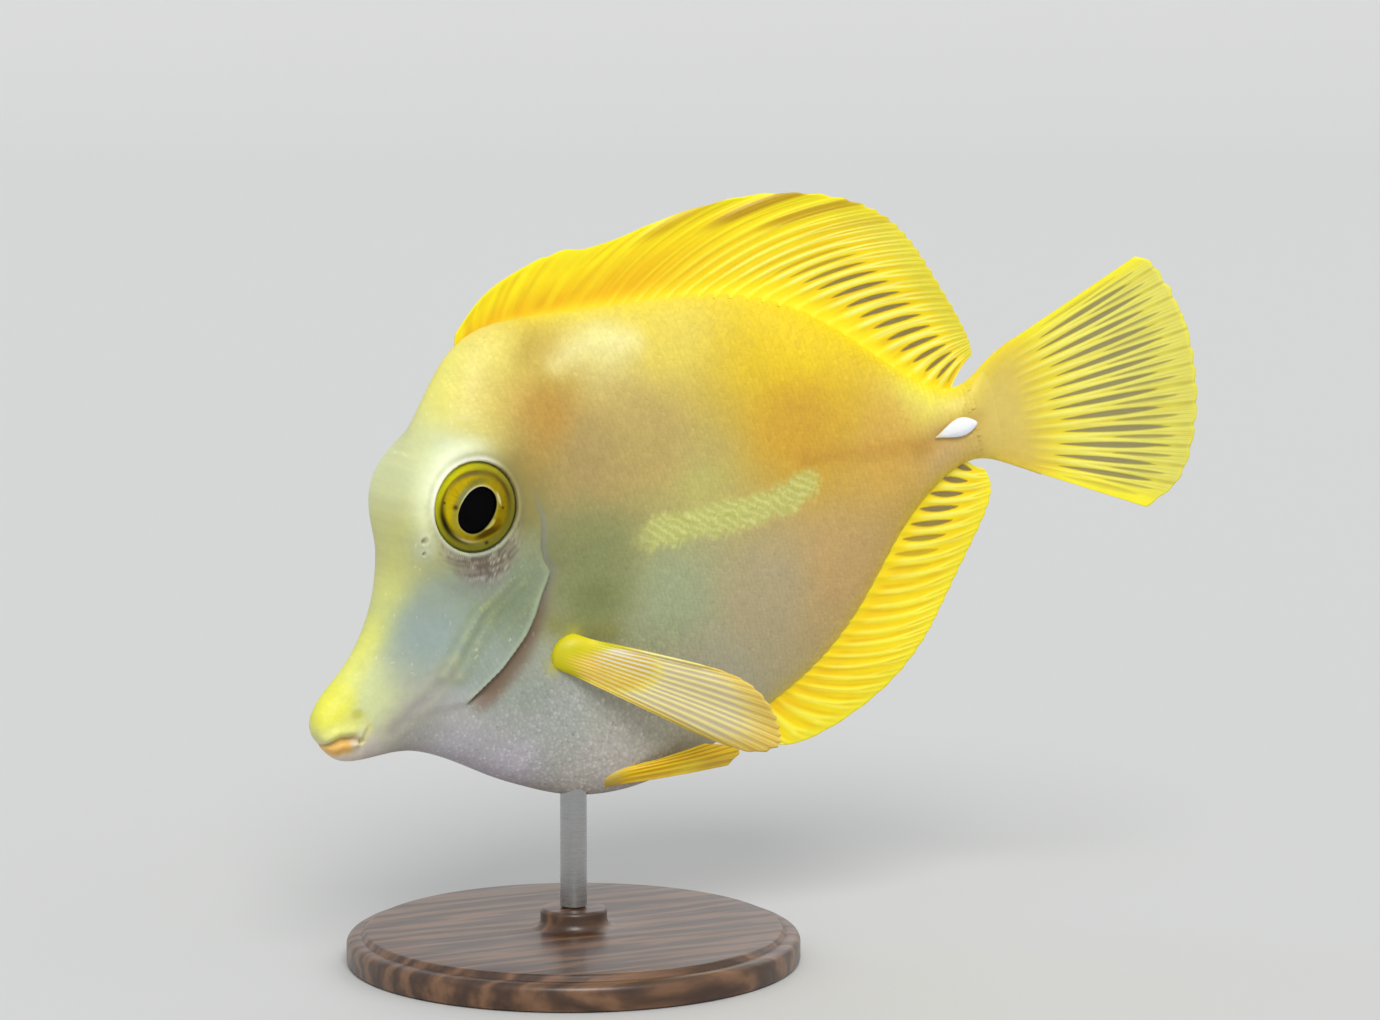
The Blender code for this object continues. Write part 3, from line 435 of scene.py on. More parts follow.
def world(points):
    return pitched(points) + TO_STAND


# Markings, shared by skin and scales. Colours are sRGB.

def under_eye(s, z):
    """Crinkled patch hugging the lower rim of the eye."""
    a, b = s - EYE_LOOK[0], z - EYE_LOOK[1]
    r = np.hypot(a, b)
    turn = np.degrees(np.arctan2(b, a))
    reach = 7.8 + 4.3 * bell(turn + 98.0, 48.0) + 0.9 * noise(turn * 0.07, 0.3 * r, 3)
    return smooth((r - 6.9) / 0.5) * smooth((reach - r) / 2.3) * bell(turn + 97.0, 64.0)


BAND_TOP = [
    (49.0, -3.0), (52.8, -1.1), (56.6, 0.9), (60.3, 0.0), (64.3, -0.3), (68.7, -0.5), (71.9, -1.0),
    (76.8, -1.3), (80.5, -0.7), (82.6, 0.0), (85.6, -0.2), (88.0, -2.4),
]
BAND_FOOT = [
    (49.0, -3.6), (51.8, -4.8), (55.5, -6.1), (59.5, -6.2), (62.9, -5.9), (65.9, -7.2), (69.2, -7.5),
    (72.1, -6.9), (75.0, -8.3), (77.2, -7.0), (80.5, -7.1), (84.5, -5.9), (88.0, -2.8),
]


def lateral_band(s, z):
    """Ragged pale band along the middle of the flank, its edges running out in small flames."""
    lean = s - 0.7 * z
    rag = 0.45 * noise(lean * 1.3, 0.2 * z, 21) + 0.35 * noise(lean * 2.9, 0.3 * z, 22)
    top = np.interp(s, [p[0] for p in BAND_TOP], [p[1] for p in BAND_TOP])
    foot = np.interp(s, [p[0] for p in BAND_FOOT], [p[1] for p in BAND_FOOT])
    inside = smooth((top + rag - z) / 1.7) * smooth((z - foot + 1.4 * rag) / 1.9)
    return inside * smooth((s - 49.5) / 9.0) * smooth((87.6 + rag - s) / 3.0)


def band_ripples(s, z):
    wave = (z * 0.74 + s * 0.60) * 2 * math.pi / 1.15
    return np.sin(wave + 2.2 * noise(s * 0.6, z * 0.9, 23))


# Broad colours of the body: name, place, reach and sRGB colour. Ahead of the gill edge, then behind it.
HEAD_REGIONS = [
    ("upper lip", (2.5, -14.5), 3.2, (226, 226, 112)),
    ("snout", (9, -13.5), 4.5, (212, 220, 158)),
    ("chin", (6, -21.5), 4.0, (204, 194, 188)),
    ("jaw", (15, -18.5), 4.5, (160, 158, 154)),
    ("throat", (21, -26), 6.5, (196, 190, 206)),
    ("cheek", (19.5, -6.5), 5.6, (152, 168, 163)),
    ("forehead", (19.5, 6.5), 5.0, (182, 182, 120)),
    ("brow", (24, 18), 5.5, (204, 212, 180)),
    ("crown", (34, 26.5), 5.5, (232, 220, 112)),
    ("temple", (37.5, 10), 5.0, (130, 120, 62)),
    ("gill cover", (32, -5.5), 5.5, (128, 140, 112)),
    ("gill cover foot", (25.5, -12.5), 4.5, (150, 162, 150)),
]
BODY_REGIONS = [
    ("nape", (43, 20), 6.5, (187, 140, 57)),
    ("nape top", (40.5, 29), 4.5, (238, 222, 108)),
    ("shoulder", (49, 11), 6.5, (170, 146, 90)),
    ("behind the gills", (45, -2), 7.0, (130, 136, 86)),
    ("chest", (35, -25), 8.5, (170, 174, 168)),
    ("belly", (42, -37), 8.5, (196, 190, 184)),
    ("nape back", (45.5, 26.5), 4.0, (186, 160, 58)),
    ("above the pectoral", (44, -9), 4.0, (118, 126, 72)),
    ("below the gills", (31, -19.5), 4.0, (148, 156, 144)),
    ("throat side", (28, -31), 4.5, (204, 199, 210)),
    # Painted sheen: pale patch round the raised ridge of the upper flank.
    ("ridge sheen", (57, 25), 5.0, (228, 218, 140)),
    ("middle", (60, 11), 8.0, (184, 160, 94)),
    ("pale middle", (65, 2.5), 6.0, (186, 180, 102)),
    ("side", (57, -13), 7.5, (156, 168, 131)),
    ("low side", (59, -28), 8.5, (170, 168, 146)),
    ("back", (67, 25), 7.5, (228, 207, 82)),
    ("gold", (88, 19), 9.5, (234, 203, 0)),
    ("amber", (84, 6.5), 8.5, (205, 157, 46)),
    ("before the tail", (99, -1), 6.0, (212, 168, 76)),
    ("tan", (73, -17), 8.5, (176, 162, 126)),
    ("rear tan", (86, -17), 8.5, (196, 162, 104)),
    ("stalk top", (106, 6), 4.5, (226, 222, 92)),
    ("stalk", (107, -3.5), 4.0, (208, 173, 118)),
    ("tail root", (117, 0), 4.5, (218, 194, 102)),
]


def mix(base, colour, weight):
    return base + (np.asarray(colour, float) - base) * np.clip(weight, 0, 1)[..., None]


def blend(s, z, regions):
    total = 0.0
    colour = 0.0
    for name, place, reach, shade in regions:
        d2 = ((s - place[0]) ** 2 + (z - place[1]) ** 2) / reach ** 2
        w = 1.0 / (0.35 + d2) ** 1.6
        total = total + w
        colour = colour + w[..., None] * np.asarray(shade, float)
    return colour / total[..., None]


def markings(s, z):
    """Colour of the skin at (s, z), sRGB 0..255."""
    a = s + 1.8 * cloud(s * 0.12, z * 0.12, 31)
    b = z + 1.8 * cloud(s * 0.14 + 9, z * 0.14, 34)
    behind, open_ = gill_weights(s, z)
    head = smooth(0.5 - behind / (1.6 + 18.0 * (1.0 - open_)))
    base = blend(a, b, BODY_REGIONS)
    base = base + (blend(a, b, HEAD_REGIONS) - base) * head[..., None]
    above = np.clip(back_line(s, 0.0) - z, 0, 90)
    base = mix(base, (255, 232, 30), 0.75 * np.exp(-above / 1.8) * smooth((s - 40) / 10))
    snout = line_distance([(1, -13), (3, -11.8), (7, -9), (11.2, -5), (15.1, 0.9)], s, z)
    base = mix(base, (232, 232, 92), 0.80 * np.exp(-(snout / 2.0) ** 2) * smooth((1.5 - z) / 8.0))
    base = mix(base, (220, 222, 120), 0.50 * np.exp(-(snout / 2.4) ** 2))
    front = line_distance([(15.1, 0.9), (17.9, 7.9), (20.7, 15.2), (26.9, 22.9), (34.8, 31)], s, z)
    base = mix(base, (226, 226, 120), 0.40 * np.exp(-(front / 2.6) ** 2))
    under = np.clip(z - belly_line(s, 0.0), 0, 90)
    base = mix(base, (244, 214, 40), 0.70 * np.exp(-under / 1.4) * smooth((s - 66) / 8))
    base = mix(base, (230, 228, 74), 0.75 * blob(s, z, (3.4, -13.4), (3.8, 2.6), 35, 1.0))
    base = mix(base, (222, 224, 110), 0.55 * blob(s, z, (4.2, -16.8), (3.4, 1.5), 8, 1.0))
    base = mix(base, (188, 184, 72), 0.60 * blob(s, z, (6.4, -15.4), (0.9, 0.7), 0, 1.2))
    base = mouth_marks(s, z, base)
    base = cheek_marks(s, z, base)
    base = eye_marks(s, z, base)
    return flank_marks(s, z, base)


def mouth_marks(s, z, base):
    mouth = np.interp(s, [p[0] for p in MOUTH_LINE], [p[1] for p in MOUTH_LINE])
    under = mouth - z
    lower = smooth((6.8 - s) / 1.2) * smooth(under / 0.3)
    base = mix(base, (226, 214, 196), 0.80 * lower * smooth((5.2 - under) / 1.5))
    base = mix(base, (238, 182, 88), 0.85 * lower * smooth((2.9 - under) / 1.3) * smooth((5.4 - s) / 1.8))
    base = mix(base, (160, 122, 60), 0.50 * bell(line_distance(MOUTH_LINE, s, z), 0.24))
    return mix(base, (232, 224, 128), 0.5 * bell(line_distance(MOUTH_FOLD, s, z), 0.7))


def cheek_marks(s, z, base):
    behind, open_ = gill_weights(s, z)
    low = smooth((-2.0 - z) / 9.0)
    wide = np.interp(z, [-18.6, -16.5, -12.0, -6.0, 0.0, 8.0], [3.0, 2.9, 1.9, 1.3, 1.0, 0.8])
    inside = smooth((behind + 0.15) / 0.3) * smooth((wide * 1.5 - behind) / (wide * 1.2))
    # Painted shade in the gill slit behind the cover's edge: grey, browner low down, a near-black line along the
    # edge's lower part, a brown patch at the slit's foot, and shade fading back over the body.
    slit_shade = open_ * inside
    base = mix(base, (142, 144, 138), 0.75 * slit_shade)
    base = mix(base, (112, 84, 64), 0.92 * slit_shade * low)
    base = mix(base, (70, 50, 36), 0.6 * open_ * smooth((-10.0 - z) / 4.0) * bell(behind - 0.15, 0.30))
    base = mix(base, (118, 92, 74), 0.65 * blob(s, z, (25.6, -18.0), (2.7, 1.4), 35, 1.6) * smooth(behind / 0.3))
    base = mix(base, (118, 118, 92), 0.35 * open_ * (behind > 0) * np.exp(-np.clip(behind, 0, 60) / 3.0))
    base = mix(base, (190, 204, 176), 0.40 * open_ * bell(behind + 0.55, 0.45) * smooth((2 - z) / 8))
    for shift, share in ((0.0, 0.36), (2.1, 0.24)):
        ridge = [(a + shift, b - 0.35 * shift) for a, b in CHEEK_RIDGE]
        d, k = line_distance(ridge, s, z, True)
        # Pale, patchy colour along each ridge: partly its own colour, partly painted sparkle of light.
        patchy = 0.55 + 0.45 * noise(k * 17.0, shift + d * 0.2, 41)
        base = mix(base, (196, 200, 120), share * bell(d, 0.6) * patchy)
        base = mix(base, (120, 134, 96), 0.25 * bell(d - 1.0, 0.6))
    streak = noise((s * 0.55 - z * 0.83) * 1.9, (s * 0.83 + z * 0.55) * 0.16, 44)
    cover = bell(np.hypot((s - 30.5) * 0.8, z + 6.5), 6.5) * smooth((0.2 - behind) / 0.4)
    base = mix(base, (166, 172, 108), 0.35 * cover * smooth(streak))
    fold = line_distance(THROAT_FOLD, s, z)
    wavy = fold + 0.5 * noise(s * 0.8, z * 0.8, 46)
    base = mix(base, (196, 190, 156), 0.26 * bell(wavy - 1.2, 0.9))
    base = mix(base, (154, 144, 140), 0.22 * bell(wavy, 0.8))
    # Pale ring round each nostril, and painted shade in its pit.
    for (a, b), radius in NOSTRILS:
        d = np.hypot(s - a, z - b)
        base = mix(base, (196, 202, 180), 0.6 * bell(d, 1.5))
        base = mix(base, (104, 100, 72), 0.7 * bell(d, radius * 0.65))
    # Painted highlights: sparse near-white sparkles over the head.
    sparkle = noise(s * 2.3, z * 2.3, 51)
    near = smooth((37 - s) / 6) * smooth((z + 16) / 6)
    return mix(base, (252, 250, 214), 0.5 * near * smooth((sparkle - 0.86) / 0.10))


def eye_marks(s, z, base):
    a, b = s - EYE_LOOK[0], z - EYE_LOOK[1]
    r = np.hypot(a, b)
    turn = np.arctan2(b, a)
    patch = under_eye(s, z)
    grain = 0.5 + 0.5 * noise(turn * 7.0 + 1.6 * noise(s * 1.1, z * 1.1, 42), r * 4.4 + turn * 3.0, 43)
    base = mix(base, (134, 124, 108), 0.90 * patch)
    base = mix(base, (206, 200, 186), 0.60 * patch * smooth((grain - 0.66) / 0.14))
    base = mix(base, (88, 76, 62), 0.70 * patch * smooth((0.42 - grain) / 0.14))
    base = mix(base, (136, 136, 142), 0.30 * blob(s, z, (28.0, -2.0), (4.6, 2.0), -12, 1.2))
    # Pale rim round the eye, partly its own colour and partly painted highlight, brightest toward the snout;
    # above it an arc of painted highlight on the wet rim, and a broader painted highlight over the brow.
    around = 0.5 + 0.5 * np.cos(turn - math.radians(185))
    base = mix(base, (200, 206, 192), 0.70 * bell(r - 6.9, 0.36) * (0.25 + 0.75 * around))
    rim_highlight = smooth(1.6 * np.cos(turn - math.radians(112)) - 0.25)
    base = mix(base, (255, 255, 236), 0.95 * rim_highlight * bell(r - 7.0, 0.60))
    glow = bell(r - 8.6, 1.5) * smooth(1.4 * np.cos(turn - math.radians(130)) - 0.1)
    base = mix(base, (246, 252, 212), 0.60 * glow)
    base = mix(base, (132, 128, 82), 0.45 * bell(r - 7.6, 0.35) * smooth(1.3 * np.cos(turn - 0.6)))
    # Painted shade: a thin olive-brown ring at the socket's edge, deepest below and toward the tail, away from
    # the light.
    shade = 0.25 + 0.75 * smooth(0.4 - 1.2 * np.cos(turn - math.radians(130)))
    return mix(base, (110, 106, 80), 0.70 * bell(r - 6.52, 0.16) * shade)


def flank_marks(s, z, base):
    # Painted shade: a soft olive band just above the pectoral fin's root.
    axil_shade = line_distance([(37.2, -11.0), (39.0, -12.4), (42.0, -13.4), (45.5, -14.6)], s, z)
    base = mix(base, (126, 124, 54), 0.50 * bell(axil_shade, 1.9))
    base = mix(base, (196, 190, 50), 0.50 * bell(line_distance(PECTORAL_ROOT, s, z), 1.3))
    # Painted highlight along the raised ridge of the upper flank.
    base = mix(base, (246, 238, 166), 0.50 * bell(line_distance(SHEEN_RIDGE, s, z), 2.0))
    base = mix(base, (222, 190, 100), 0.25 * blob(s, z, (43.5, 24.5), (5.0, 1.4), 40, 1.2))
    band = lateral_band(s, z)
    ripple = band_ripples(s, z)
    base = mix(base, (194, 198, 106), 0.68 * band)
    base = mix(base, (228, 230, 158), 0.50 * band * smooth(ripple))
    base = mix(base, (176, 178, 84), 0.40 * band * smooth(-ripple))
    groove = line_distance([(103.0, -2.6), BLADE_FRONT, BLADE_REAR], s, z)
    base = mix(base, (170, 130, 58), 0.30 * bell(groove, 1.9))
    base = mix(base, (184, 132, 44), 0.35 * bell(line_distance([(84, 1), (94, -1), (104, -2.4)], s, z), 1.6))
    base = mix(base, (190, 158, 96), 0.25 * blob(s, z, (63.0, 6.0), (11.0, 2.0), 0, 1.2))
    fine = 1.0 + 0.022 * cloud(s * 0.8, z * 0.8, 55) + 0.014 * noise(s * 3.3, z * 3.3, 58)
    return np.clip(base * fine[..., None], 0, 255)


def linear(colour):
    c = np.asarray(colour, float) / 255.0
    return np.where(c <= 0.04045, c / 12.92, ((c + 0.055) / 1.055) ** 2.4)


# Mesh and material helpers

def new_mesh(name, verts, faces, mat, colours=None, uvs=None, soft=True):
    """Object from world points in millimetres and equal-sized faces or several arrays of them."""
    groups = faces if isinstance(faces, list) else [faces]
    index = np.concatenate([g.ravel() for g in groups]).astype(np.int32)
    sizes = np.concatenate([np.full(len(g), g.shape[1]) for g in groups])
    starts = np.concatenate([[0], np.cumsum(sizes)[:-1]]).astype(np.int32)
    mesh = bpy.data.meshes.new(name)
    mesh.vertices.add(len(verts))
    mesh.vertices.foreach_set("co", (np.asarray(verts) * MM).astype(np.float32).ravel())
    mesh.loops.add(len(index))
    mesh.loops.foreach_set("vertex_index", index)
    mesh.polygons.add(len(sizes))
    mesh.polygons.foreach_set("loop_start", starts)
    mesh.update(calc_edges=True)
    mesh.validate()
    if soft:
        mesh.shade_smooth()
    else:
        mesh.shade_flat()
    if colours is not None:
        layer = mesh.color_attributes.new("Tint", "FLOAT_COLOR", "POINT")
        rgba = np.ones((len(verts), 4), np.float32)
        rgba[:, :colours.shape[1]] = colours
        layer.data.foreach_set("color", rgba.ravel())
    if uvs is not None:
        layer = mesh.uv_layers.new(name="OFBake")
        layer.data.foreach_set("uv", uvs.astype(np.float32).ravel())
    mesh.materials.append(mat)
    obj = bpy.data.objects.new(name, mesh)
    bpy.context.scene.collection.objects.link(obj)
    return obj


def ride(obj, slot, *nodes):
    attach(obj, "root")
    if nodes:
        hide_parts(*nodes)
    return obj


class Paint:
    """Small helper that wires a Principled material."""

    def __init__(self, name, **values):
        self.mat = bpy.data.materials.new(name)
        self.mat.use_nodes = True
        self.tree = self.mat.node_tree
        self.shader = self.tree.nodes["Principled BSDF"]
        for key, value in values.items():
            self.shader.inputs[key.replace("_", " ")].default_value = value

    def node(self, kind, **values):
        made = self.tree.nodes.new(kind)
        for key, value in values.items():
            if key in made.inputs:
                made.inputs[key].default_value = value
            else:
                setattr(made, key, value)
        return made

    def link(self, out, into):
        self.tree.links.new(out, into)

    def tint(self):
        node = self.node("ShaderNodeAttribute")
        node.attribute_name = "Tint"
        return node

    def object_noise(self, scale, detail=4.0, stretch=None, distortion=0.0):
        """Noise in the object's own millimetres."""
        place = self.node("ShaderNodeTexCoord")
        spread = self.node("ShaderNodeMapping")
        spread.inputs["Scale"].default_value = stretch or (1.0, 1.0, 1.0)
        made = self.node("ShaderNodeTexNoise", Scale=scale, Detail=detail, Distortion=distortion)
        self.link(place.outputs["Object"], spread.inputs["Vector"])
        self.link(spread.outputs["Vector"], made.inputs["Vector"])
        return made

    def bump(self, height, strength, distance=0.0002, under=None):
        node = self.node("ShaderNodeBump", Strength=strength, Distance=distance)
        self.link(height, node.inputs["Height"])
        if under is not None:
            self.link(under.outputs["Normal"], node.inputs["Normal"])
        self.link(node.outputs["Normal"], self.shader.inputs["Normal"])
        return node

    def spread(self, source, low, high, into):
        """Send a 0..1 value to a socket as low..high."""
        node = self.node("ShaderNodeMapRange")
        node.inputs["To Min"].default_value = low
        node.inputs["To Max"].default_value = high
        self.link(source, node.inputs["Value"])
        self.link(node.outputs["Result"], self.shader.inputs[into])

    def mottled(self, colour, noise_out, amount):
        """Vary a colour in brightness with a noise and send it to the base colour."""
        node = self.node("ShaderNodeMapRange")
        node.inputs["To Min"].default_value = 1.0 - amount
        node.inputs["To Max"].default_value = 1.0 + amount
        self.link(noise_out, node.inputs["Value"])
        scale = self.node("ShaderNodeVectorMath", operation="SCALE")
        self.link(colour, scale.inputs[0])
        self.link(node.outputs["Result"], scale.inputs["Scale"])
        self.link(scale.outputs[0], self.shader.inputs["Base Color"])


def skin_paint(name, roughness, bumpy, glow):
    paint = Paint(name, Roughness=roughness, IOR=1.40)
    paint.shader.inputs["Coat Weight"].default_value = 0.10
    paint.shader.inputs["Coat Roughness"].default_value = 0.30
    paint.shader.inputs["Subsurface Weight"].default_value = glow
    paint.shader.inputs["Subsurface Radius"].default_value = (1.0, 0.75, 0.35)
    paint.shader.inputs["Subsurface Scale"].default_value = 0.0010
    tint = paint.tint()
    grain = paint.object_noise(1100.0, 4.0)
    paint.mottled(tint.outputs["Color"], grain.outputs["Fac"], 0.05)
    patchy = paint.object_noise(140.0, 3.0)
    paint.spread(patchy.outputs["Fac"], roughness - 0.08, roughness + 0.10, "Roughness")
    fine = paint.object_noise(2600.0, 3.0)
    first = paint.bump(grain.outputs["Fac"], bumpy, 0.00010)
    paint.bump(fine.outputs["Fac"], bumpy * 0.6, 0.00005, first)
    return paint.mat


# Skin

def skin_columns():
    head = np.linspace(0.0, 1.0, HEAD_COLUMNS, endpoint=False)
    body = np.linspace(0.0, 1.0, BODY_COLUMNS)
    return np.concatenate([0.06 + (9.6 - 0.06) * head, 9.6 + (LAST_RIB - 9.6) * body])


def skin_heights(count):
    even = np.linspace(-1.0, 1.0, count)
    return 0.45 * np.sin(even * math.pi / 2) + 0.55 * even


def sink(points, depth):
    """Move a grid of flank points in along the normal, ridge and keel points within the middle plane."""
    out = np.cross(np.gradient(points, axis=0), np.gradient(points, axis=1))
    out *= -np.sign(out[..., 1:2] + 1e-12)
    out /= np.maximum(np.linalg.norm(out, axis=-1, keepdims=True), 1e-12)
    points = points - out * depth
    points[:, [0, -1], 1] = 0.0
    points[..., 1] = np.minimum(points[..., 1], 0.0)
    return points


def arc_maps(u, t):
    """Smooth chart of one flank: lengths along and round the surface."""
    plain = body_point(u[:, None] + 0 * t, t + 0 * u[:, None], False)
    middle = plain[:, len(t) // 2]
    along = np.concatenate([[0], np.cumsum(np.linalg.norm(np.diff(middle, axis=0), axis=1))])
    steps = np.linalg.norm(np.diff(plain, axis=1), axis=2)
    round_ = np.concatenate([np.zeros((len(u), 1)), np.cumsum(steps, axis=1)], axis=1)
    return plain, along, round_ - round_[:, len(t) // 2:len(t) // 2 + 1]


def chart(s, w, side):
    """Place on the OFBake map of a point at length s along and w up the flank."""
    u = (np.asarray(s) + 4.0) / 260.0
    v = (np.asarray(w) + 58.0) / 116.0
    return np.stack([u + (0.5 if side > 0 else 0.0), v], axis=-1)


def make_skin(mat):
    u = skin_columns()
    t = skin_heights(SKIN_ROWS)
    grid = sink(body_point(u[:, None] + 0 * t, t + 0 * u[:, None]), COAT_DEPTH)
    fade = smooth((u - TAIL_WEDGE_FROM) / (LAST_RIB - TAIL_WEDGE_FROM))
    grid[..., 1] *= (1.0 - 0.97 * fade)[:, None]
    rows, n = len(u), len(t)
    plain, along, round_ = arc_maps(u, t)
    right = grid[:, -2:0:-1] * [1, -1, 1]
    ring = np.concatenate([grid, right], axis=1)
    size = ring.shape[1]
    verts = ring.reshape(-1, 3)
    tints = linear(markings(verts[:, 0], verts[:, 2]))
    i = np.arange(rows - 1)[:, None]
    j = np.arange(size)[None, :]
    k = (j + 1) % size
    quads = np.stack([i * size + j, (i + 1) * size + j, (i + 1) * size + k, i * size + k], axis=-1)
    cell = []
    for a, b in ((0, 0), (1, 0), (1, 1), (0, 1)):
        left = chart(plain[..., 0], round_, -1)[a:rows - 1 + a, b:n - 1 + b]
        turned_map = chart(plain[..., 0], round_, 1)[:, ::-1]
        turned_map = turned_map[a:rows - 1 + a, b:n - 1 + b]
        cell.append(np.concatenate([left, turned_map], axis=1))
    uvs = np.stack(cell, axis=2)
    centres, caps, cap_uvs = [], [], []
    for ring_no, flip in ((0, False), (rows - 1, True)):
        ids = ring_no * size + np.arange(size)
        centres.append(verts[ids].mean(axis=0) - [0.12 if ring_no == 0 else 0.0, 0, 0])
        fan = np.stack([np.full(size, len(verts) + len(caps)), ids, np.roll(ids, -1)], axis=-1)
        caps.append(fan[:, ::-1] if flip else fan)
        cap_uvs.append(np.tile(chart(centres[-1][0], 0.0, -1), (size * 3, 1)))
    tints = np.concatenate([tints, tints[[0, -1]]])
    skin = new_mesh("skin", world(np.concatenate([verts, centres])), [quads.reshape(-1, 4)] + caps, mat,
                    tints, np.concatenate([uvs.reshape(-1, 2)] + cap_uvs))
    return ride(skin, "body_skin", "head", "lower_jaw", "trunk", "tail_stalk")


# Scales

def scale_places():
    """Staggered places over one flank: rib, height, and lengths along and round it."""
    u = np.linspace(1.6, LAST_RIB - 0.1, 700)
    t = np.linspace(-0.985, 0.985, 241)
    plain, along, round_ = arc_maps(u, t)
    columns = np.arange(along[0], along[-1], SCALE_STEP)
    places = []
    for number, a in enumerate(columns):
        uc = np.interp(a, along, u)
        k = min(int(np.searchsorted(u, uc)), len(u) - 1)
        arc = round_[k]
        shift = 0.5 * (number % 2)
        low, high = math.ceil(arc[0] / SCALE_ROW), math.floor(arc[-1] / SCALE_ROW)
        w = (np.arange(low, high) + shift) * SCALE_ROW
        places.append(np.stack([np.full(len(w), uc), np.interp(w, arc, t), w], axis=-1))
    return np.concatenate(places)


def grows(s, z):
    """True where scales grow: not on lips, cheek, eyes, nostrils, folds or in the gill slit."""
    keep = np.hypot(s - EYE_LOOK[0], z - EYE_LOOK[1]) > 9.3
    keep &= under_eye(s, z) < 0.05
    for (a, b), radius in NOSTRILS:
        keep &= np.hypot(s - a, z - b) > radius + 0.9
    behind, open_ = gill_weights(s, z)
    keep &= ~((behind > -1.0) & (behind < 1.9) & (open_ > 0.1))
    keep &= ~((behind <= 0.0) & (s < 27.0 + 0.35 * np.minimum(z, 12.0)) & (z > -19.0))
    keep &= s + 0.2 * z > 8.0
    keep &= line_distance([BLADE_FRONT, BLADE_REAR], s, z) > 1.6
    keep &= line_distance(PECTORAL_ROOT, s, z) > 1.8
    return keep & (s < 112.5)


# One scale: ahead, across and out from its root, in units of its size. The first nine go round the
# edge, the last two are the middle of its top and the point of its root under the skin.
SCALE_FORM = np.array([
    (-0.42, 0.00, -0.05), (-0.24, 0.36, -0.03), (0.18, 0.50, 0.004), (0.52, 0.40, 0.024),
    (0.74, 0.15, 0.036), (0.74, -0.15, 0.036), (0.52, -0.40, 0.024), (0.18, -0.50, 0.004),
    (-0.24, -0.36, -0.03), (0.20, 0.0, 0.030), (0.15, 0.0, -0.09),
])


def scale_fans():
    fans = []
    for k in range(9):
        m = (k + 1) % 9
        fans += [(9, m, k), (10, k, m)]
    return np.array(fans)


def scale_points(u, t, size, lift, turn):
    """Corners of every scale, lying back along the skin."""
    here = body_point(u, t)
    ahead = body_point(u + 0.02, t) - body_point(u - 0.02, t)
    above = body_point(u, t + 0.004) - body_point(u, t - 0.004)
    out = np.cross(ahead, above)
    out *= -np.sign(out[:, 1:2])
    out /= np.linalg.norm(out, axis=1, keepdims=True)
    ahead /= np.linalg.norm(ahead, axis=1, keepdims=True)
    above = np.cross(out, ahead)
    above *= np.sign(above[:, 2:3])
    c, n = np.cos(turn)[:, None], np.sin(turn)[:, None]
    form = SCALE_FORM
    la = (form[:, 0] * c - form[:, 1] * n) * size[:, None]
    lb = (form[:, 0] * n + form[:, 1] * c) * size[:, None]
    lc = form[:, 2] * lift[:, None] - COAT_DEPTH
    points = here[:, None] + la[..., None] * ahead[:, None] + lb[..., None] * above[:, None]
    return points + lc[..., None] * out[:, None]


def make_scales(mat):
    """Small overlapping plates that lie back along the body, each a closed wedge."""
    rng = np.random.default_rng(7)
    p = scale_places()
    s, z, y = section(p[:, 0], p[:, 1])
    loose = smooth((-14.0 - z) / 10.0) * smooth((62.0 - s) / 14.0)
    p[:, 0] += rng.normal(0, 0.011, len(p)) * (1.0 + 1.8 * loose)
    p[:, 1] = np.clip(p[:, 1] + rng.normal(0, 0.0026, len(p)) * (1.0 + 1.4 * loose), -0.990, 0.990)
    s, y, z = body_point(p[:, 0], p[:, 1]).T
    keep = grows(s, z)
    u, t, w = p[keep].T
    s, z = s[keep], z[keep]
    lower = smooth((-14.0 - z) / 10.0) * smooth((62.0 - s) / 14.0)
    size = np.interp(s, [7, 16, 30, 42, 100, 118], [0.50, 0.60, 0.78, 0.92, 0.92, 0.75])
    size = size * rng.uniform(0.92, 1.08, len(s)) * (1.0 - 0.16 * lower)
    lift = np.interp(s, [7, 20, 40, 60, 100, 106, 114], [0.3, 0.45, 0.9, 1.0, 0.9, 0.5, 0.2])
    lift = lift * np.where(gill_weights(s, z)[0] < 0, 0.6, 1.0)
    lift = lift * rng.uniform(0.75, 1.25, len(s)) * (1.0 + 0.5 * lower)
    points = scale_points(u, t, size, lift, rng.normal(0, 0.09, len(s)))
    glint = 1.0 + rng.normal(0, 0.011 + 0.026 * lower, len(s))
    # Painted light on each scale's raised rear edge and painted shade at its front, where it tucks under the
    # scale ahead; both stronger on the chest and front belly.
    shade = np.ones((len(s), len(SCALE_FORM)))
    shade[:, 3:7] += (0.020 + 0.035 * lower)[:, None]
    shade[:, [0, 1, 8, 10]] -= (0.025 + 0.050 * lower)[:, None]
    tints = markings(points[..., 0], points[..., 2]) * (glint[:, None] * shade)[..., None]
    tints = np.clip(tints, 0, 255)
    fans = scale_fans()
    patch = SCALE_FORM[:, :2] * 0.0030 / 1.16
    for side, word in ((-1, "left"), (1, "right")):
        for part, first, last in (("front", 0.0, 47.0), ("middle", 47.0, 74.0), ("rear", 74.0, 130.0)):
            pick = (s >= first) & (s < last)
            pts = points[pick] * [1, 1 if side < 0 else -1, 1]
            base = (np.arange(len(pts)) * len(SCALE_FORM))[:, None, None]
            faces = (fans[None] + base).reshape(-1, 3)
            if side > 0:
                faces = faces[:, ::-1]
            uvs = (chart(s[pick], w[pick], side)[:, None] + patch[None]).reshape(-1, 2)[faces.ravel()]
            cols = linear(tints[pick]).reshape(-1, 3)
            piece = new_mesh(f"scales_{word}_{part}", world(pts.reshape(-1, 3)), faces, mat, cols, uvs, False)
            ride(piece, "body_skin")


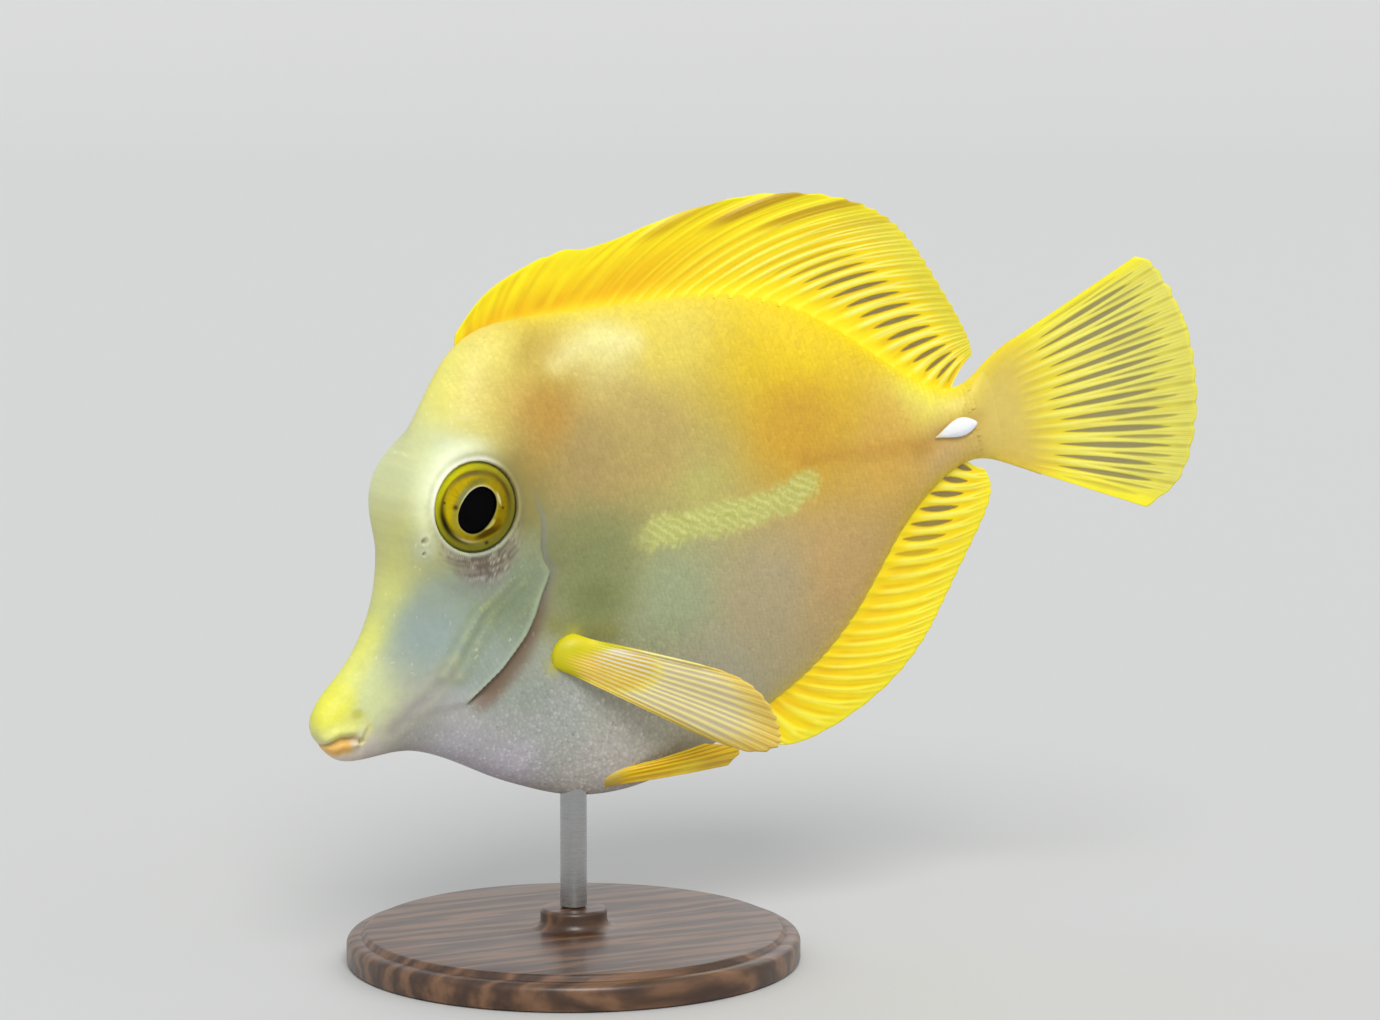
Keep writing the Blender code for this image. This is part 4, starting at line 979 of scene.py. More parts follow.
# Fins

def ray_strength(phase, f, splits, width, spread):
    """Ridge height across a ray (phase -0.5..0.5) at f from root to edge; rays branch at splits."""
    grow = [smooth((f - a) / 0.22) for a in splits]
    centres = [0.0 * phase]
    for k, g in enumerate(grow):
        step = spread / 2 ** k * g
        centres = [c + step for c in centres] + [c - step for c in centres]
    narrow = width / (1.0 + 0.8 * sum(grow)) if grow else width
    out = 0.0 * phase
    for c in centres:
        out = np.maximum(out, bell(phase - c, narrow))
    return out


def closed_sheet(points, half):
    """Closed sheet of quads from a grid of points and half thicknesses, with its verts."""
    rows, cols = half.shape
    along = np.gradient(points, axis=0)
    across = np.gradient(points, axis=1)
    normal = np.cross(along, across)
    normal /= np.maximum(np.linalg.norm(normal, axis=-1, keepdims=True), 1e-9)
    verts = np.concatenate([
        (points + normal * half[..., None]).reshape(-1, 3),
        (points - normal * half[..., None]).reshape(-1, 3),
    ])
    n = rows * cols
    i = np.arange(rows - 1)[:, None] * cols
    j = np.arange(cols - 1)[None, :]
    a, b = i + j, i + j + 1
    c, d = b + cols, a + cols
    front = np.stack([a, d, c, b], axis=-1).reshape(-1, 4)
    back = np.stack([a, b, c, d], axis=-1).reshape(-1, 4) + n
    rim = list(range(cols)) + [k * cols + cols - 1 for k in range(1, rows)]
    rim += [(rows - 1) * cols + k for k in range(cols - 2, -1, -1)]
    rim += [k * cols for k in range(rows - 2, 0, -1)]
    rim = np.array(rim)
    nxt = np.roll(rim, -1)
    wall = np.stack([rim, nxt, nxt + n, rim + n], axis=-1)
    return verts, np.concatenate([front, back, wall])


def make_fin(node, points, half, colours, mat, mirror=False):
    verts, faces = closed_sheet(points, half)
    if mirror:
        verts = verts * [1, -1, 1]
        faces = faces[:, ::-1]
    tints = np.concatenate([colours.reshape(-1, 4)] * 2)
    fin = new_mesh(node + "_web", world(verts), faces, mat, tints)
    return ride(fin, "fin", node)


def fin_frame(table, per_ray):
    numbers = [r[0] for r in table]
    columns = np.linspace(numbers[0], numbers[-1], (numbers[-1] - numbers[0]) * per_ray + 1)
    phase = columns - np.round(columns)
    return columns, phase, spline(numbers, [r[1:] for r in table], columns)


def fin_colour(layers, alpha):
    """Stack (colour, weight) layers into linear RGBA."""
    base = np.zeros(alpha.shape + (3,)) + np.asarray(layers[0][0], float)
    for colour, weight in layers[1:]:
        base = mix(base, colour, weight + 0 * alpha)
    return np.concatenate([linear(base), np.clip(alpha, 0, 1)[..., None]], axis=-1)


def slots(phase, f, start, stop, width):
    """Lens-shaped windows between the rays, from start to stop along them; the fins make them partly clear and
    tint them as painted shade.
    """
    k = np.clip((f - start) / (stop - start), 0.0, 1.0)
    half = width * np.sin(math.pi * k) ** 0.75
    return smooth((np.abs(phase) - 0.5 + half) / 0.09 + 0.5) * smooth(half / 0.05)


def median_layers(columns, phase, f, ray, rear, slot):
    """Colours of the dorsal or anal fin: deep yellow ahead, pale rays and partly clear slots behind, the slots
    tinted deep olive as painted shade.
    """
    grain = noise(columns * 2.7 + 0 * f, f * 3.0 + 0.15 * columns, 61)
    lines = noise(columns * 5.0 + 0 * f, f * 1.2 + 0 * columns, 62)
    middle = smooth((f - 0.06) / 0.2) * smooth((1.02 - f) / 0.25)
    return [
        ((255, 228, 4), 1.0),
        ((240, 178, 0), (0.80 + 0.2 * grain) * (1 - rear) * smooth((0.66 - f) / 0.55)),
        ((255, 240, 20), 0.65 * (1 - rear) * smooth((f - 0.70) / 0.25)),
        ((253, 248, 156), (0.06 + 0.76 * rear) * smooth(ray * 1.1) * middle),
        ((242, 190, 0), (0.20 + 0.25 * rear) * (1 - smooth(ray * 1.7)) * middle),
        ((255, 244, 60), 0.22 * smooth(lines * 1.6) * middle),
        ((204, 166, 4), 0.30 * smooth(-lines * 1.6) * middle),
        ((224, 214, 74), 0.70 * rear * smooth((f - 0.70) / 0.22)),
        ((255, 236, 30), 0.85 * bell(f, 0.10)),
        # Painted shade: the slots tinted deep olive, as if shade showed through the clear membrane.
        ((112, 98, 44), 0.80 * slot),
    ]


def dorsal(mat):
    columns, phase, values = fin_frame(DORSAL_RAYS, 14)
    f = np.linspace(0.0, 1.0, 65)[:, None]
    foot = values[:, 0]
    roots = np.stack([foot, back_line(foot, -1.3)], axis=-1)
    step = values[:, 1:3] - roots
    square = np.stack([-step[:, 1], step[:, 0]], axis=-1)
    dip = 0.045 * bell(columns - 0.55, 0.36) + 0.030 * bell(columns - 1.6, 0.3)
    edge = 0.012 * (1 - bell(phase, 0.30)) * smooth((columns - 2.0) / 1.5) + dip
    reach = (f * (1.0 - edge * f ** 6))[..., None]
    view = roots + step * reach + square * (4 * FIN_ARCH * f * (1 - f))[..., None]
    fold = bell(columns - 6.0, 3.2) * np.sin(columns * 2.4)
    sway = 0.35 * np.sin(columns * 0.55 + 1.0) * f ** 2 + 0.30 * fold * smooth((f - 0.45) / 0.4)
    points = np.stack([view[..., 0], sway + 0 * view[..., 0], view[..., 1]], axis=-1)
    soft = smooth((columns - DORSAL_SPINES + 0.5) / 1.0)
    ray = ray_strength(phase + 0 * f, f, (), 0.15, 0.2) * (1 - soft) * 0.8
    ray = ray + ray_strength(phase + 0 * f, f, (0.55, 0.80), 0.19, 0.19) * soft
    ray = ray * smooth((columns - DORSAL_RAYS[0][0]) / 2.0)
    calm = 0.35 + 0.65 * smooth((columns - 4.0) / 8.0)
    half = 0.11 + ray * calm * (0.14 * (1 - 0.5 * f)) + 0.95 * np.exp(-f / 0.06) * (1 - f)
    half = np.where(f > 0.999, 0.05, half)
    rear = smooth((columns - 6.0) / 8.0)
    open_ = smooth((columns - 12.5) / 6.0) * smooth((28.2 - columns) / 2.0)
    stop = np.interp(columns, [9, 16, 22, 28], [0.80, 0.70, 0.74, 0.80])
    slot = slots(phase, f, 0.24, stop - 0.04, 0.175) * open_
    layers = median_layers(columns, phase, f, ray, rear, slot)
    shadow = smooth((f - 0.50) / 0.2) * bell(columns - 7.5, 4.0) * smooth(-1.3 * np.sin(columns * 2.4 + 0.5))
    layers.append(((168, 132, 8), 0.75 * shadow))
    alpha = 1.0 - 0.28 * slot - 0.16 * rear * smooth((f - 0.72) / 0.2) * (1 - ray)
    return make_fin("dorsal_fin", points, half, fin_colour(layers, alpha), mat)


def anal(mat):
    columns, phase, values = fin_frame(ANAL_RAYS, 14)
    f = np.linspace(0.0, 1.0, 51)[:, None]
    foot = values[:, 0]
    roots = np.stack([foot, belly_line(foot, -1.3)], axis=-1)
    step = values[:, 1:3] - roots
    square = np.stack([step[:, 1], -step[:, 0]], axis=-1)
    edge = 0.012 * (1 - bell(phase, 0.30)) * smooth((columns - 1.0) / 1.5)
    reach = (f * (1.0 - edge * f ** 6))[..., None]
    view = roots + step * reach + square * (4 * FIN_ARCH * f * (1 - f))[..., None]
    sway = 0.25 * np.sin(columns * 0.6) * f ** 2
    points = np.stack([view[..., 0], sway + 0 * view[..., 0], view[..., 1]], axis=-1)
    ray = ray_strength(phase + 0 * f, f, (0.60, 0.85), 0.22, 0.18)
    ray = ray * smooth((columns - ANAL_RAYS[0][0]) / 2.0)
    half = 0.11 + ray * (0.17 * (1 - 0.5 * f)) + 0.85 * np.exp(-f / 0.07) * (1 - f)
    half = np.where(f > 0.999, 0.05, half)
    rear = smooth((columns - 10.0) / 10.0)
    open_ = smooth((columns - 13.5) / 5.0)
    slot = slots(phase, f, 0.10, 0.60, 0.21) * open_
    layers = median_layers(columns, phase, f, ray, 0.55 + 0.25 * rear, slot)
    layers.append(((246, 196, 10), 0.5 * smooth((0.35 - f) / 0.3) * smooth((6.0 - columns) / 5.0)))
    layers.append(((255, 232, 40), 0.6 * rear * smooth((f - 0.72) / 0.2)))
    return make_fin("anal_fin", points, half, fin_colour(layers, 1.0 - 0.28 * slot), mat)


def caudal(mat):
    columns, phase, values = fin_frame(CAUDAL_RAYS, 20)
    f = np.linspace(0.0, 1.0, 91)[:, None]
    t = np.linspace(-1.0, 1.0, len(columns))
    k = (values[:, 0] - values[0, 0]) / (values[-1, 0] - values[0, 0])
    low, high = belly_line(ROOT_S, -0.4), back_line(ROOT_S, -0.4)
    roots = np.stack([ROOT_S + 1.2 * (1 - t ** 2), low + (high - low) * k], axis=-1)
    low, high = belly_line(NECK_S, -0.25), back_line(NECK_S, -0.25)
    neck = np.stack([NECK_S + 0 * k, low + (high - low) * k], axis=-1)
    edge = 0.010 * (1 - bell(phase, 0.34)) + 0.006 * noise(columns * 3.1, 0 * columns, 63)
    reach = f * (1.0 - edge * f ** 8)
    first = np.clip(reach / NECK_SHARE, 0.0, 1.0)[..., None]
    second = np.clip((reach - NECK_SHARE) / (1.0 - NECK_SHARE), 0.0, 1.0)[..., None]
    view = roots + (neck - roots) * first + (values[:, 1:3] - neck) * second
    sway = 0.5 * np.sin(columns * 0.5 + 0.6) * f ** 2
    points = np.stack([view[..., 0], sway + 0 * view[..., 0], view[..., 1]], axis=-1)
    outer = bell(np.minimum(columns - columns[0], columns[-1] - columns), 1.0)
    ray = ray_strength(phase + 0 * f, f, (0.38, 0.62, 0.80), 0.24, 0.20)
    ray = np.maximum(ray, outer + 0 * f)
    swell = 0.35 + 0.75 * np.sqrt(np.clip(1.0 - t ** 2, 0.0, 1.0))
    risen = smooth((f - 0.16) / 0.14)
    half = 0.11 + ray * risen * 0.16 * (1 - 0.55 * f) + swell * np.exp(-(f / 0.20) ** 1.8)
    half = np.where(f > 0.999, 0.05, half)
    start = 0.34 + 0.03 * np.cos(columns * 1.3)
    stop = 0.86 + 0.05 * noise(np.floor(columns + 0.5) * 1.7, 0 * columns, 65)
    slot = slots(phase, f, start, stop, 0.185) * (1 - outer)
    inner = slots(0.5 - np.abs(phase), f, 0.60, 0.92, 0.11) * (1 - outer)
    slot = np.maximum(slot, 0.6 * inner)
    skin = markings(view[..., 0], view[..., 1])
    blended = 1.0 - smooth((view[..., 0] - 117.5) / 8.0)
    lines = noise(columns * 6.0 + 0 * f, f * 1.5 + 0 * columns, 64)
    middle = smooth((f - 0.05) / 0.2)
    layers = [
        ((234, 222, 78), 1.0),
        ((252, 246, 150), 0.50 * smooth(ray * 1.2) * smooth((f - 0.25) / 0.2)),
        ((236, 208, 20), 0.40 * (1 - smooth(ray * 1.5)) * middle),
        ((255, 248, 110), 0.22 * smooth(lines * 1.5) * middle),
        ((206, 178, 30), 0.22 * smooth(-lines * 1.5) * middle),
        ((255, 238, 30), 0.80 * outer),
        ((202, 200, 96), 0.65 * smooth((f - 0.40) / 0.45) * (1 - 0.5 * ray) * (1 - outer)),
        ((246, 236, 60), 0.50 * smooth((f - 0.975) / 0.02)),
        # Painted shade: the slots tinted deep olive, as if shade showed through the clear membrane.
        ((128, 122, 78), 0.74 * slot),
        (skin, blended),
    ]
    alpha = 1.0 - 0.30 * slot - 0.20 * smooth((f - 0.88) / 0.08) * (1 - ray)
    return make_fin("caudal_fin", points, half, fin_colour(layers, alpha), mat)


def paired(kind, side, root_line, table, rows, per_ray, sag, mat, paint, lobe):
    columns, phase, values = fin_frame(table, per_ray)
    k = (columns - columns[0]) / (columns[-1] - columns[0])
    (s0, z0), (s1, z1) = root_line
    forward = 1.5 * np.sin(math.pi * k)
    roots = flank(s0 + (s1 - s0) * k - 0.7 * forward, z0 + (z1 - z0) * k + 0.5 * forward, -0.8)
    f = np.linspace(0.0, 1.0, rows + 1)[:, None]
    lift = np.array([0.0, -1.0, 0.0]) * sag * np.linalg.norm(values - roots, axis=1)[:, None]
    edge = 0.014 * (1 - bell(phase, 0.34))
    reach = (f * (1.0 - edge * f ** 8))[..., None]
    points = roots + (values - roots) * reach + lift * (4 * f * (1 - f))[..., None]
    points[..., 1] += 0.22 * np.sin(columns * 1.1) * f ** 2
    ray = ray_strength(phase + 0 * f, f, (0.70,), 0.25, 0.16)
    ray = np.maximum(ray, bell(columns - columns[0], 0.35) + 0 * f)
    half = 0.09 + ray * smooth((f - 0.10) / 0.2) * 0.10 * (1 - 0.5 * f)
    half = half + lobe * bell(f - 0.05, 0.085) * (0.30 + 0.70 * np.sin(math.pi * k) ** 0.6)
    half = np.where(f > 0.999, 0.045, half)
    colours = paint(columns, k, f, ray)
    word = "left" if side < 0 else "right"
    return make_fin(f"{kind}_fin_{word}", points, half, colours, mat, side > 0)


def pectoral_paint(columns, k, f, ray):
    """Golden inner part up to a slanting line with a painted highlight along it, then pale rays with a dim web,
    and an orange tip.
    """
    line = 0.54 - 0.24 * k
    near = smooth((line - f) / 0.06 + 0.5)
    far = 1.0 - near
    web = (1 - smooth(ray * 1.5)) * smooth((f - 0.12) / 0.08)
    tip = smooth((f - 0.74) / 0.24)
    reach = np.interp(k, [0.0, 0.15, 0.35, 0.6, 0.85, 1.0], [0.42, 0.24, 0.15, 0.09, 0.12, 0.20])
    base = smooth((reach + 0.05 - f) / 0.12)
    layers = [
        ((246, 222, 126), 1.0),
        ((218, 172, 44), 0.80 * near * smooth(ray * 1.3)),
        ((240, 234, 218), 0.95 * near * web * smooth((0.75 - k) / 0.4)),
        ((232, 206, 120), 0.60 * near * web * smooth((k - 0.4) / 0.4)),
        ((238, 232, 214), 0.80 * bell(k - 0.17, 0.08) * smooth((f - 0.16) / 0.06) * smooth((0.38 - f) / 0.08)),
        # Painted highlight along the slanting line.
        ((250, 232, 120), 0.70 * bell(f - line, 0.035)),
        ((252, 242, 180), 0.60 * far * smooth(ray * 1.2)),
        ((222, 204, 196), 0.85 * far * web * (1 - 0.6 * tip)),
        ((240, 194, 78), 0.70 * tip),
        ((252, 214, 90), 0.85 * smooth((k - 0.84) / 0.12) * smooth((f - 0.15) / 0.1)),
        ((252, 236, 150), 0.60 * smooth((0.05 - k) / 0.04)),
        ((206, 198, 14), 0.95 * base),
        ((236, 220, 30), 0.55 * base * smooth((0.4 - k) / 0.3)),
    ]
    alpha = 1.0 - web * (0.20 * far * (1 - 0.5 * tip) + 0.10 * near)
    return fin_colour(layers, alpha)


def pelvic_paint(columns, k, f, ray):
    web = 1 - smooth(ray * 1.5)
    layers = [
        ((244, 196, 20), 1.0),
        ((252, 224, 60), 0.6 * smooth(ray)),
        ((214, 148, 0), 0.6 * web * smooth((f - 0.1) / 0.2)),
        ((206, 182, 104), 0.8 * smooth((0.20 - f) / 0.14)),
        ((222, 186, 84), 0.5 * smooth((k - 0.6) / 0.3)),
        # Painted highlight: a bright yellow spot on the lower rays.
        ((255, 228, 60), 0.6 * bell(f - 0.62, 0.12) * smooth((k - 0.5) / 0.3)),
    ]
    return fin_colour(layers, 1.0 - 0.15 * web * smooth((f - 0.3) / 0.3))


def fin_paint(name):
    paint = Paint(name, Roughness=0.45, IOR=1.38)
    paint.shader.inputs["Coat Weight"].default_value = 0.08
    paint.shader.inputs["Coat Roughness"].default_value = 0.25
    paint.shader.inputs["Subsurface Weight"].default_value = 0.30
    paint.shader.inputs["Subsurface Radius"].default_value = (1.0, 0.75, 0.15)
    paint.shader.inputs["Subsurface Scale"].default_value = 0.0010
    tint = paint.tint()
    streak = paint.object_noise(500.0, 4.0)
    paint.mottled(tint.outputs["Color"], streak.outputs["Fac"], 0.06)
    paint.link(tint.outputs["Alpha"], paint.shader.inputs["Alpha"])
    fine = paint.object_noise(1600.0, 3.0)
    paint.bump(fine.outputs["Fac"], 0.20, 0.00006)
    return paint.mat


# Eyes

def pupil_measure(a, b):
    """1 on the pupil's edge: an egg whose long axis leans back, a little below the eye's middle."""
    a, b = a - 0.12, b + 0.50
    tilt = math.radians(47.0)
    long_ = b * math.cos(tilt) + a * math.sin(tilt)
    wide = a * math.cos(tilt) - b * math.sin(tilt)
    return (np.abs(long_ / 3.55) ** 2.2 + np.abs(wide / 2.68) ** 2.2) ** (1 / 2.2)


def iris_colour(a, b):
    """Gold iris in rings and arcs, with two painted highlights by the pupil; angles go from the tail side round
    by the top.
    """
    r = np.hypot(a, b)
    angle = np.arctan2(b, a)
    degrees = np.degrees(angle) % 360.0

    def near(middle, width):
        return bell((degrees - middle + 180.0) % 360.0 - 180.0, width)

    p = pupil_measure(a, b)
    gap = (p - 1.0) * 3.0
    streaks = noise(angle * 24.0 + 90.0, r * 1.5, 71)
    outer = smooth((r - 5.15) / 0.25)
    base = np.zeros(r.shape + (3,)) + np.array((206, 178, 14), float)
    base = mix(base, (160, 134, 8), 0.25 * smooth(streaks * 1.6))
    base = mix(base, (208, 182, 36), 0.25 * smooth(-streaks * 1.6))
    base = mix(base, (228, 208, 16), 0.60 * near(185, 40) * smooth((r - 3.4) / 0.8))
    base = mix(base, (160, 138, 18), 0.65 * near(0, 60) * smooth((r - 3.0) / 1.0))
    base = mix(base, (126, 134, 112), 0.88 * bell(gap - 0.62, 0.48) * near(125, 42))
    base = mix(base, (112, 110, 62), 0.70 * bell(gap - 0.75, 0.50) * near(72, 26))
    base = mix(base, (176, 172, 84), 0.50 * bell(gap - 0.60, 0.45) * near(195, 30))
    base = mix(base, (184, 178, 36), outer)
    base = mix(base, (226, 224, 30), 0.90 * outer * near(120, 55))
    base = mix(base, (158, 156, 66), 0.70 * outer * near(262, 60))
    base = mix(base, (150, 138, 52), 0.75 * outer * near(0, 50))
    base = mix(base, (112, 98, 60), 0.95 * bell(r - 4.95, 0.34) * near(84, 46))
    base = mix(base, (102, 82, 32), 0.80 * bell(r - 5.4, 0.34) * near(18, 42))
    base = mix(base, (30, 22, 10), 0.97 * bell(r - 5.25, 0.42) * near(191, 34))
    base = mix(base, (50, 36, 16), 0.90 * bell(r - 5.3, 0.22) * near(226, 22))
    base = mix(base, (96, 80, 30), 0.60 * bell(r - 5.2, 0.20) * near(155, 28))
    base = mix(base, (240, 228, 170), 0.95 * bell(r - 5.08, 0.27) * near(242, 26))
    base = mix(base, (196, 184, 96), 0.55 * bell(r - 5.4, 0.24) * near(275, 30))
    base = mix(base, (98, 72, 8), 0.88 * blob(a, b, (1.0, -4.1), (2.0, 0.55), 8, 0.9))
    base = mix(base, (150, 116, 8), 0.60 * blob(a, b, (2.6, -3.3), (0.9, 0.6), 40, 0.9))
    # Painted highlights: a bright yellow glint below the pupil and a pale streak on its tail side.
    base = mix(base, (255, 240, 120), blob(a, b, (1.45, -3.05), (1.05, 0.45), 22, 0.6))
    base = mix(base, (252, 240, 190), 0.90 * blob(a, b, (3.78, 0.15), (0.22, 1.0), 4, 0.8))
    base = mix(base, (206, 200, 150), 0.60 * bell(gap - 0.10, 0.15))
    base = mix(base, (246, 246, 226), 0.85 * bell(gap - 0.14, 0.16) * near(100, 60))
    for place, size in (((-3.1, 0.9), 0.34), ((0.4, -5.55), 0.24), ((4.1, -1.35), 0.18), ((-4.5, 2.0), 0.18)):
        base = mix(base, (50, 30, 8), 0.85 * bell(np.hypot(a - place[0], b - place[1]), size))
    base = mix(base, (66, 62, 36), 0.80 * bell(r - 6.38, 0.10) * (0.10 + 0.90 * near(320, 80)))
    return mix(base, (4, 4, 6), smooth((1.02 - p) / 0.04))


def polar(rings, sides, shape):
    """Disc mesh of rings by sides; shape(a, b, r) gives how far out each point is."""
    r = np.asarray(rings)[:, None]
    angle = np.arange(sides)[None, :] * 2 * math.pi / sides
    a, b = r * np.cos(angle), r * np.sin(angle)
    r, angle = r + 0 * a, angle + 0 * a
    out = shape(a, b, r)
    i = np.arange(len(rings) - 1)[:, None] * sides
    j = np.arange(sides)[None, :]
    k = (j + 1) % sides
    quads = np.stack([i + j, i + sides + j, i + sides + k, i + k], axis=-1).reshape(-1, 4)
    fan = np.stack([np.full(sides, len(rings) * sides), j[0], k[0]], axis=-1)
    return a, b, r, angle, out, [quads, fan]


def place_eye(a, b, out, side):
    y = np.full_like(a, -EYE_CENTRE_Y) - out
    points = np.stack([EYE_LOOK[0] + a, y, EYE_LOOK[1] + b], axis=-1).reshape(-1, 3)
    middle = [[EYE_LOOK[0], -EYE_CENTRE_Y - out[0].mean(), EYE_LOOK[1]]]
    return np.concatenate([points, middle]) * [1, 1 if side < 0 else -1, 1]


def iris_shape(a, b, r):
    p = pupil_measure(a, b)
    out = 1.22 - 0.010 * r ** 2 - 1.6 * smooth((r - EYE_SHOWN - 0.02) / 0.2)
    out += 0.10 * bell((p - 1.0) * 3.0 - 0.35, 0.4) - 0.10 * bell(r - 5.1, 0.22)
    return out - 0.50 * smooth((1.02 - p) / 0.10)


def clear_shape(a, b, r):
    return 1.02 + 1.15 * (1.0 - (r / EYE_SHOWN) ** 2) - 1.5 * smooth((r - EYE_SHOWN + 0.02) / 0.2)


def eye_disc(name, node, rings, sides, shape, mat, side, colour=None):
    a, b, r, angle, out, faces = polar(rings, sides, shape)
    points = place_eye(a, b, out, side)
    if side > 0:
        faces = [g[:, ::-1] for g in faces]
    tints = None
    if colour:
        tints = linear(np.concatenate([colour(a, b).reshape(-1, 3), [(4, 4, 6)]]))
    piece = new_mesh(name, world(points), faces, mat, tints)
    ride(piece, "eye", node)


def make_eye(side, iris_mat, clear_mat):
    word = "left" if side < 0 else "right"
    node = f"eye_{word}"
    rings = np.concatenate([np.linspace(0.12, EYE_SHOWN, 110), EYE_SHOWN + np.array([0.05, 0.10, 0.16, 0.22])])
    eye_disc(node + "_iris", node, rings, 180, iris_shape, iris_mat, side, iris_colour)
    rings = np.concatenate([np.linspace(0.2, EYE_SHOWN, 36), EYE_SHOWN + np.array([0.06, 0.12, 0.18])])
    eye_disc(node + "_clear", node, rings, 96, clear_shape, clear_mat, side)


def iris_paint():
    paint = Paint("eye_gold", Roughness=0.34, IOR=1.45)
    paint.shader.inputs["Specular IOR Level"].default_value = 0.05
    tint = paint.tint()
    grain = paint.object_noise(1500.0, 4.0)
    paint.mottled(tint.outputs["Color"], grain.outputs["Fac"], 0.14)
    paint.bump(grain.outputs["Fac"], 0.05, 0.0001)
    return paint.mat


def clear_paint():
    mat = bpy.data.materials.new("eye_clear")
    mat.use_nodes = True
    tree = mat.node_tree
    tree.nodes.remove(tree.nodes["Principled BSDF"])
    clear = tree.nodes.new("ShaderNodeBsdfTransparent")
    gloss = tree.nodes.new("ShaderNodeBsdfGlossy")
    gloss.inputs["Roughness"].default_value = 0.10
    fresnel = tree.nodes.new("ShaderNodeFresnel")
    fresnel.inputs["IOR"].default_value = 1.33
    grazing = tree.nodes.new("ShaderNodeMapRange")
    grazing.inputs["From Min"].default_value = 0.024
    blend = tree.nodes.new("ShaderNodeMixShader")
    tree.links.new(fresnel.outputs["Fac"], grazing.inputs["Value"])
    tree.links.new(grazing.outputs["Result"], blend.inputs["Fac"])
    tree.links.new(clear.outputs[0], blend.inputs[1])
    tree.links.new(gloss.outputs[0], blend.inputs[2])
    tree.links.new(blend.outputs[0], tree.nodes["Material Output"].inputs["Surface"])
    return mat


# Tail spine

def make_blade(side, mat):
    """White blade lying in its groove, its point ahead, widest near its rear."""
    front, rear = np.array((105.9, -1.5)), np.array((112.7, -0.9))
    axis = rear - front
    square = np.array([-axis[1], axis[0]]) / np.linalg.norm(axis)
    f = np.linspace(0.0, 1.0, 49)[:, None]
    j = np.linspace(-1.0, 1.0, 19)[None, :]
    leaf = np.sin(math.pi * f ** 1.45) ** 0.85
    wide = np.where(j > 0, 1.55, 1.05) * leaf + 0.05
    place = front + axis * f[..., None] + square * (wide * j)[..., None]
    base = flank(place[..., 0].ravel(), place[..., 1].ravel(), 0.0).reshape(place.shape[:2] + (3,))
    arch = np.sqrt(np.clip(1 - j ** 2, 0, 1)) * leaf
    base[..., 1] -= 0.30 + 0.32 * arch
    half = 0.10 + 0.34 * arch
    verts, faces = closed_sheet(base, half)
    if side > 0:
        verts = verts * [1, -1, 1]
        faces = faces[:, ::-1]
    tint = np.zeros(half.shape + (3,)) + 244.0
    tint = mix(tint, (206, 214, 240), 0.5 * bell(j + 0.5, 0.4) * smooth(f * 2))
    tint = mix(tint, (216, 206, 168), 0.8 * bell(f, 0.16) + 0 * j)
    tints = linear(np.concatenate([tint.reshape(-1, 3)] * 2))
    node = "tail_spine_" + ("left" if side < 0 else "right")
    return ride(new_mesh(node + "_blade", world(verts), faces, mat, tints), "tail_spine", node)


def blade_paint():
    paint = Paint("blade_white", Roughness=0.32, IOR=1.5, Coat_Weight=0.3, Coat_Roughness=0.15)
    paint.shader.inputs["Subsurface Weight"].default_value = 0.2
    paint.shader.inputs["Subsurface Scale"].default_value = 0.001
    tint = paint.tint()
    grain = paint.object_noise(700.0, 4.0, (1.0, 1.0, 3.0))
    paint.mottled(tint.outputs["Color"], grain.outputs["Fac"], 0.06)
    paint.bump(grain.outputs["Fac"], 0.15, 0.0001)
    return paint.mat


# Stand

def turned(name, profile, sides, mat, slot, node):
    r = np.array([p[0] for p in profile])[:, None]
    h = np.array([p[1] for p in profile])[:, None]
    a = np.arange(sides)[None, :] * 2 * math.pi / sides
    grid = np.stack([r * np.cos(a), r * np.sin(a), h + 0 * a], axis=-1).reshape(-1, 3)
    rows = len(profile)
    i = np.arange(rows - 1)[:, None] * sides
    j = np.arange(sides)[None, :]
    k = (j + 1) % sides
    quads = np.stack([i + j, i + k, i + sides + k, i + sides + j], axis=-1).reshape(-1, 4)
    n = len(grid)
    verts = np.concatenate([grid, [(0, 0, profile[0][1]), (0, 0, profile[-1][1])]])
    foot = np.stack([np.full(sides, n), k[0], j[0]], axis=-1)
    top = np.stack([np.full(sides, n + 1), (rows - 1) * sides + j[0], (rows - 1) * sides + k[0]], axis=-1)
    obj = new_mesh(name, verts, [quads, foot, top], mat)
    obj.data.set_sharp_from_angle(angle=math.radians(35))
    return ride(obj, slot, node)


def arc_profile(centre, radius, start, stop, steps=7):
    angles = np.radians(np.linspace(start, stop, steps))
    return [(centre[0] + radius * math.cos(a), centre[1] + radius * math.sin(a)) for a in angles]


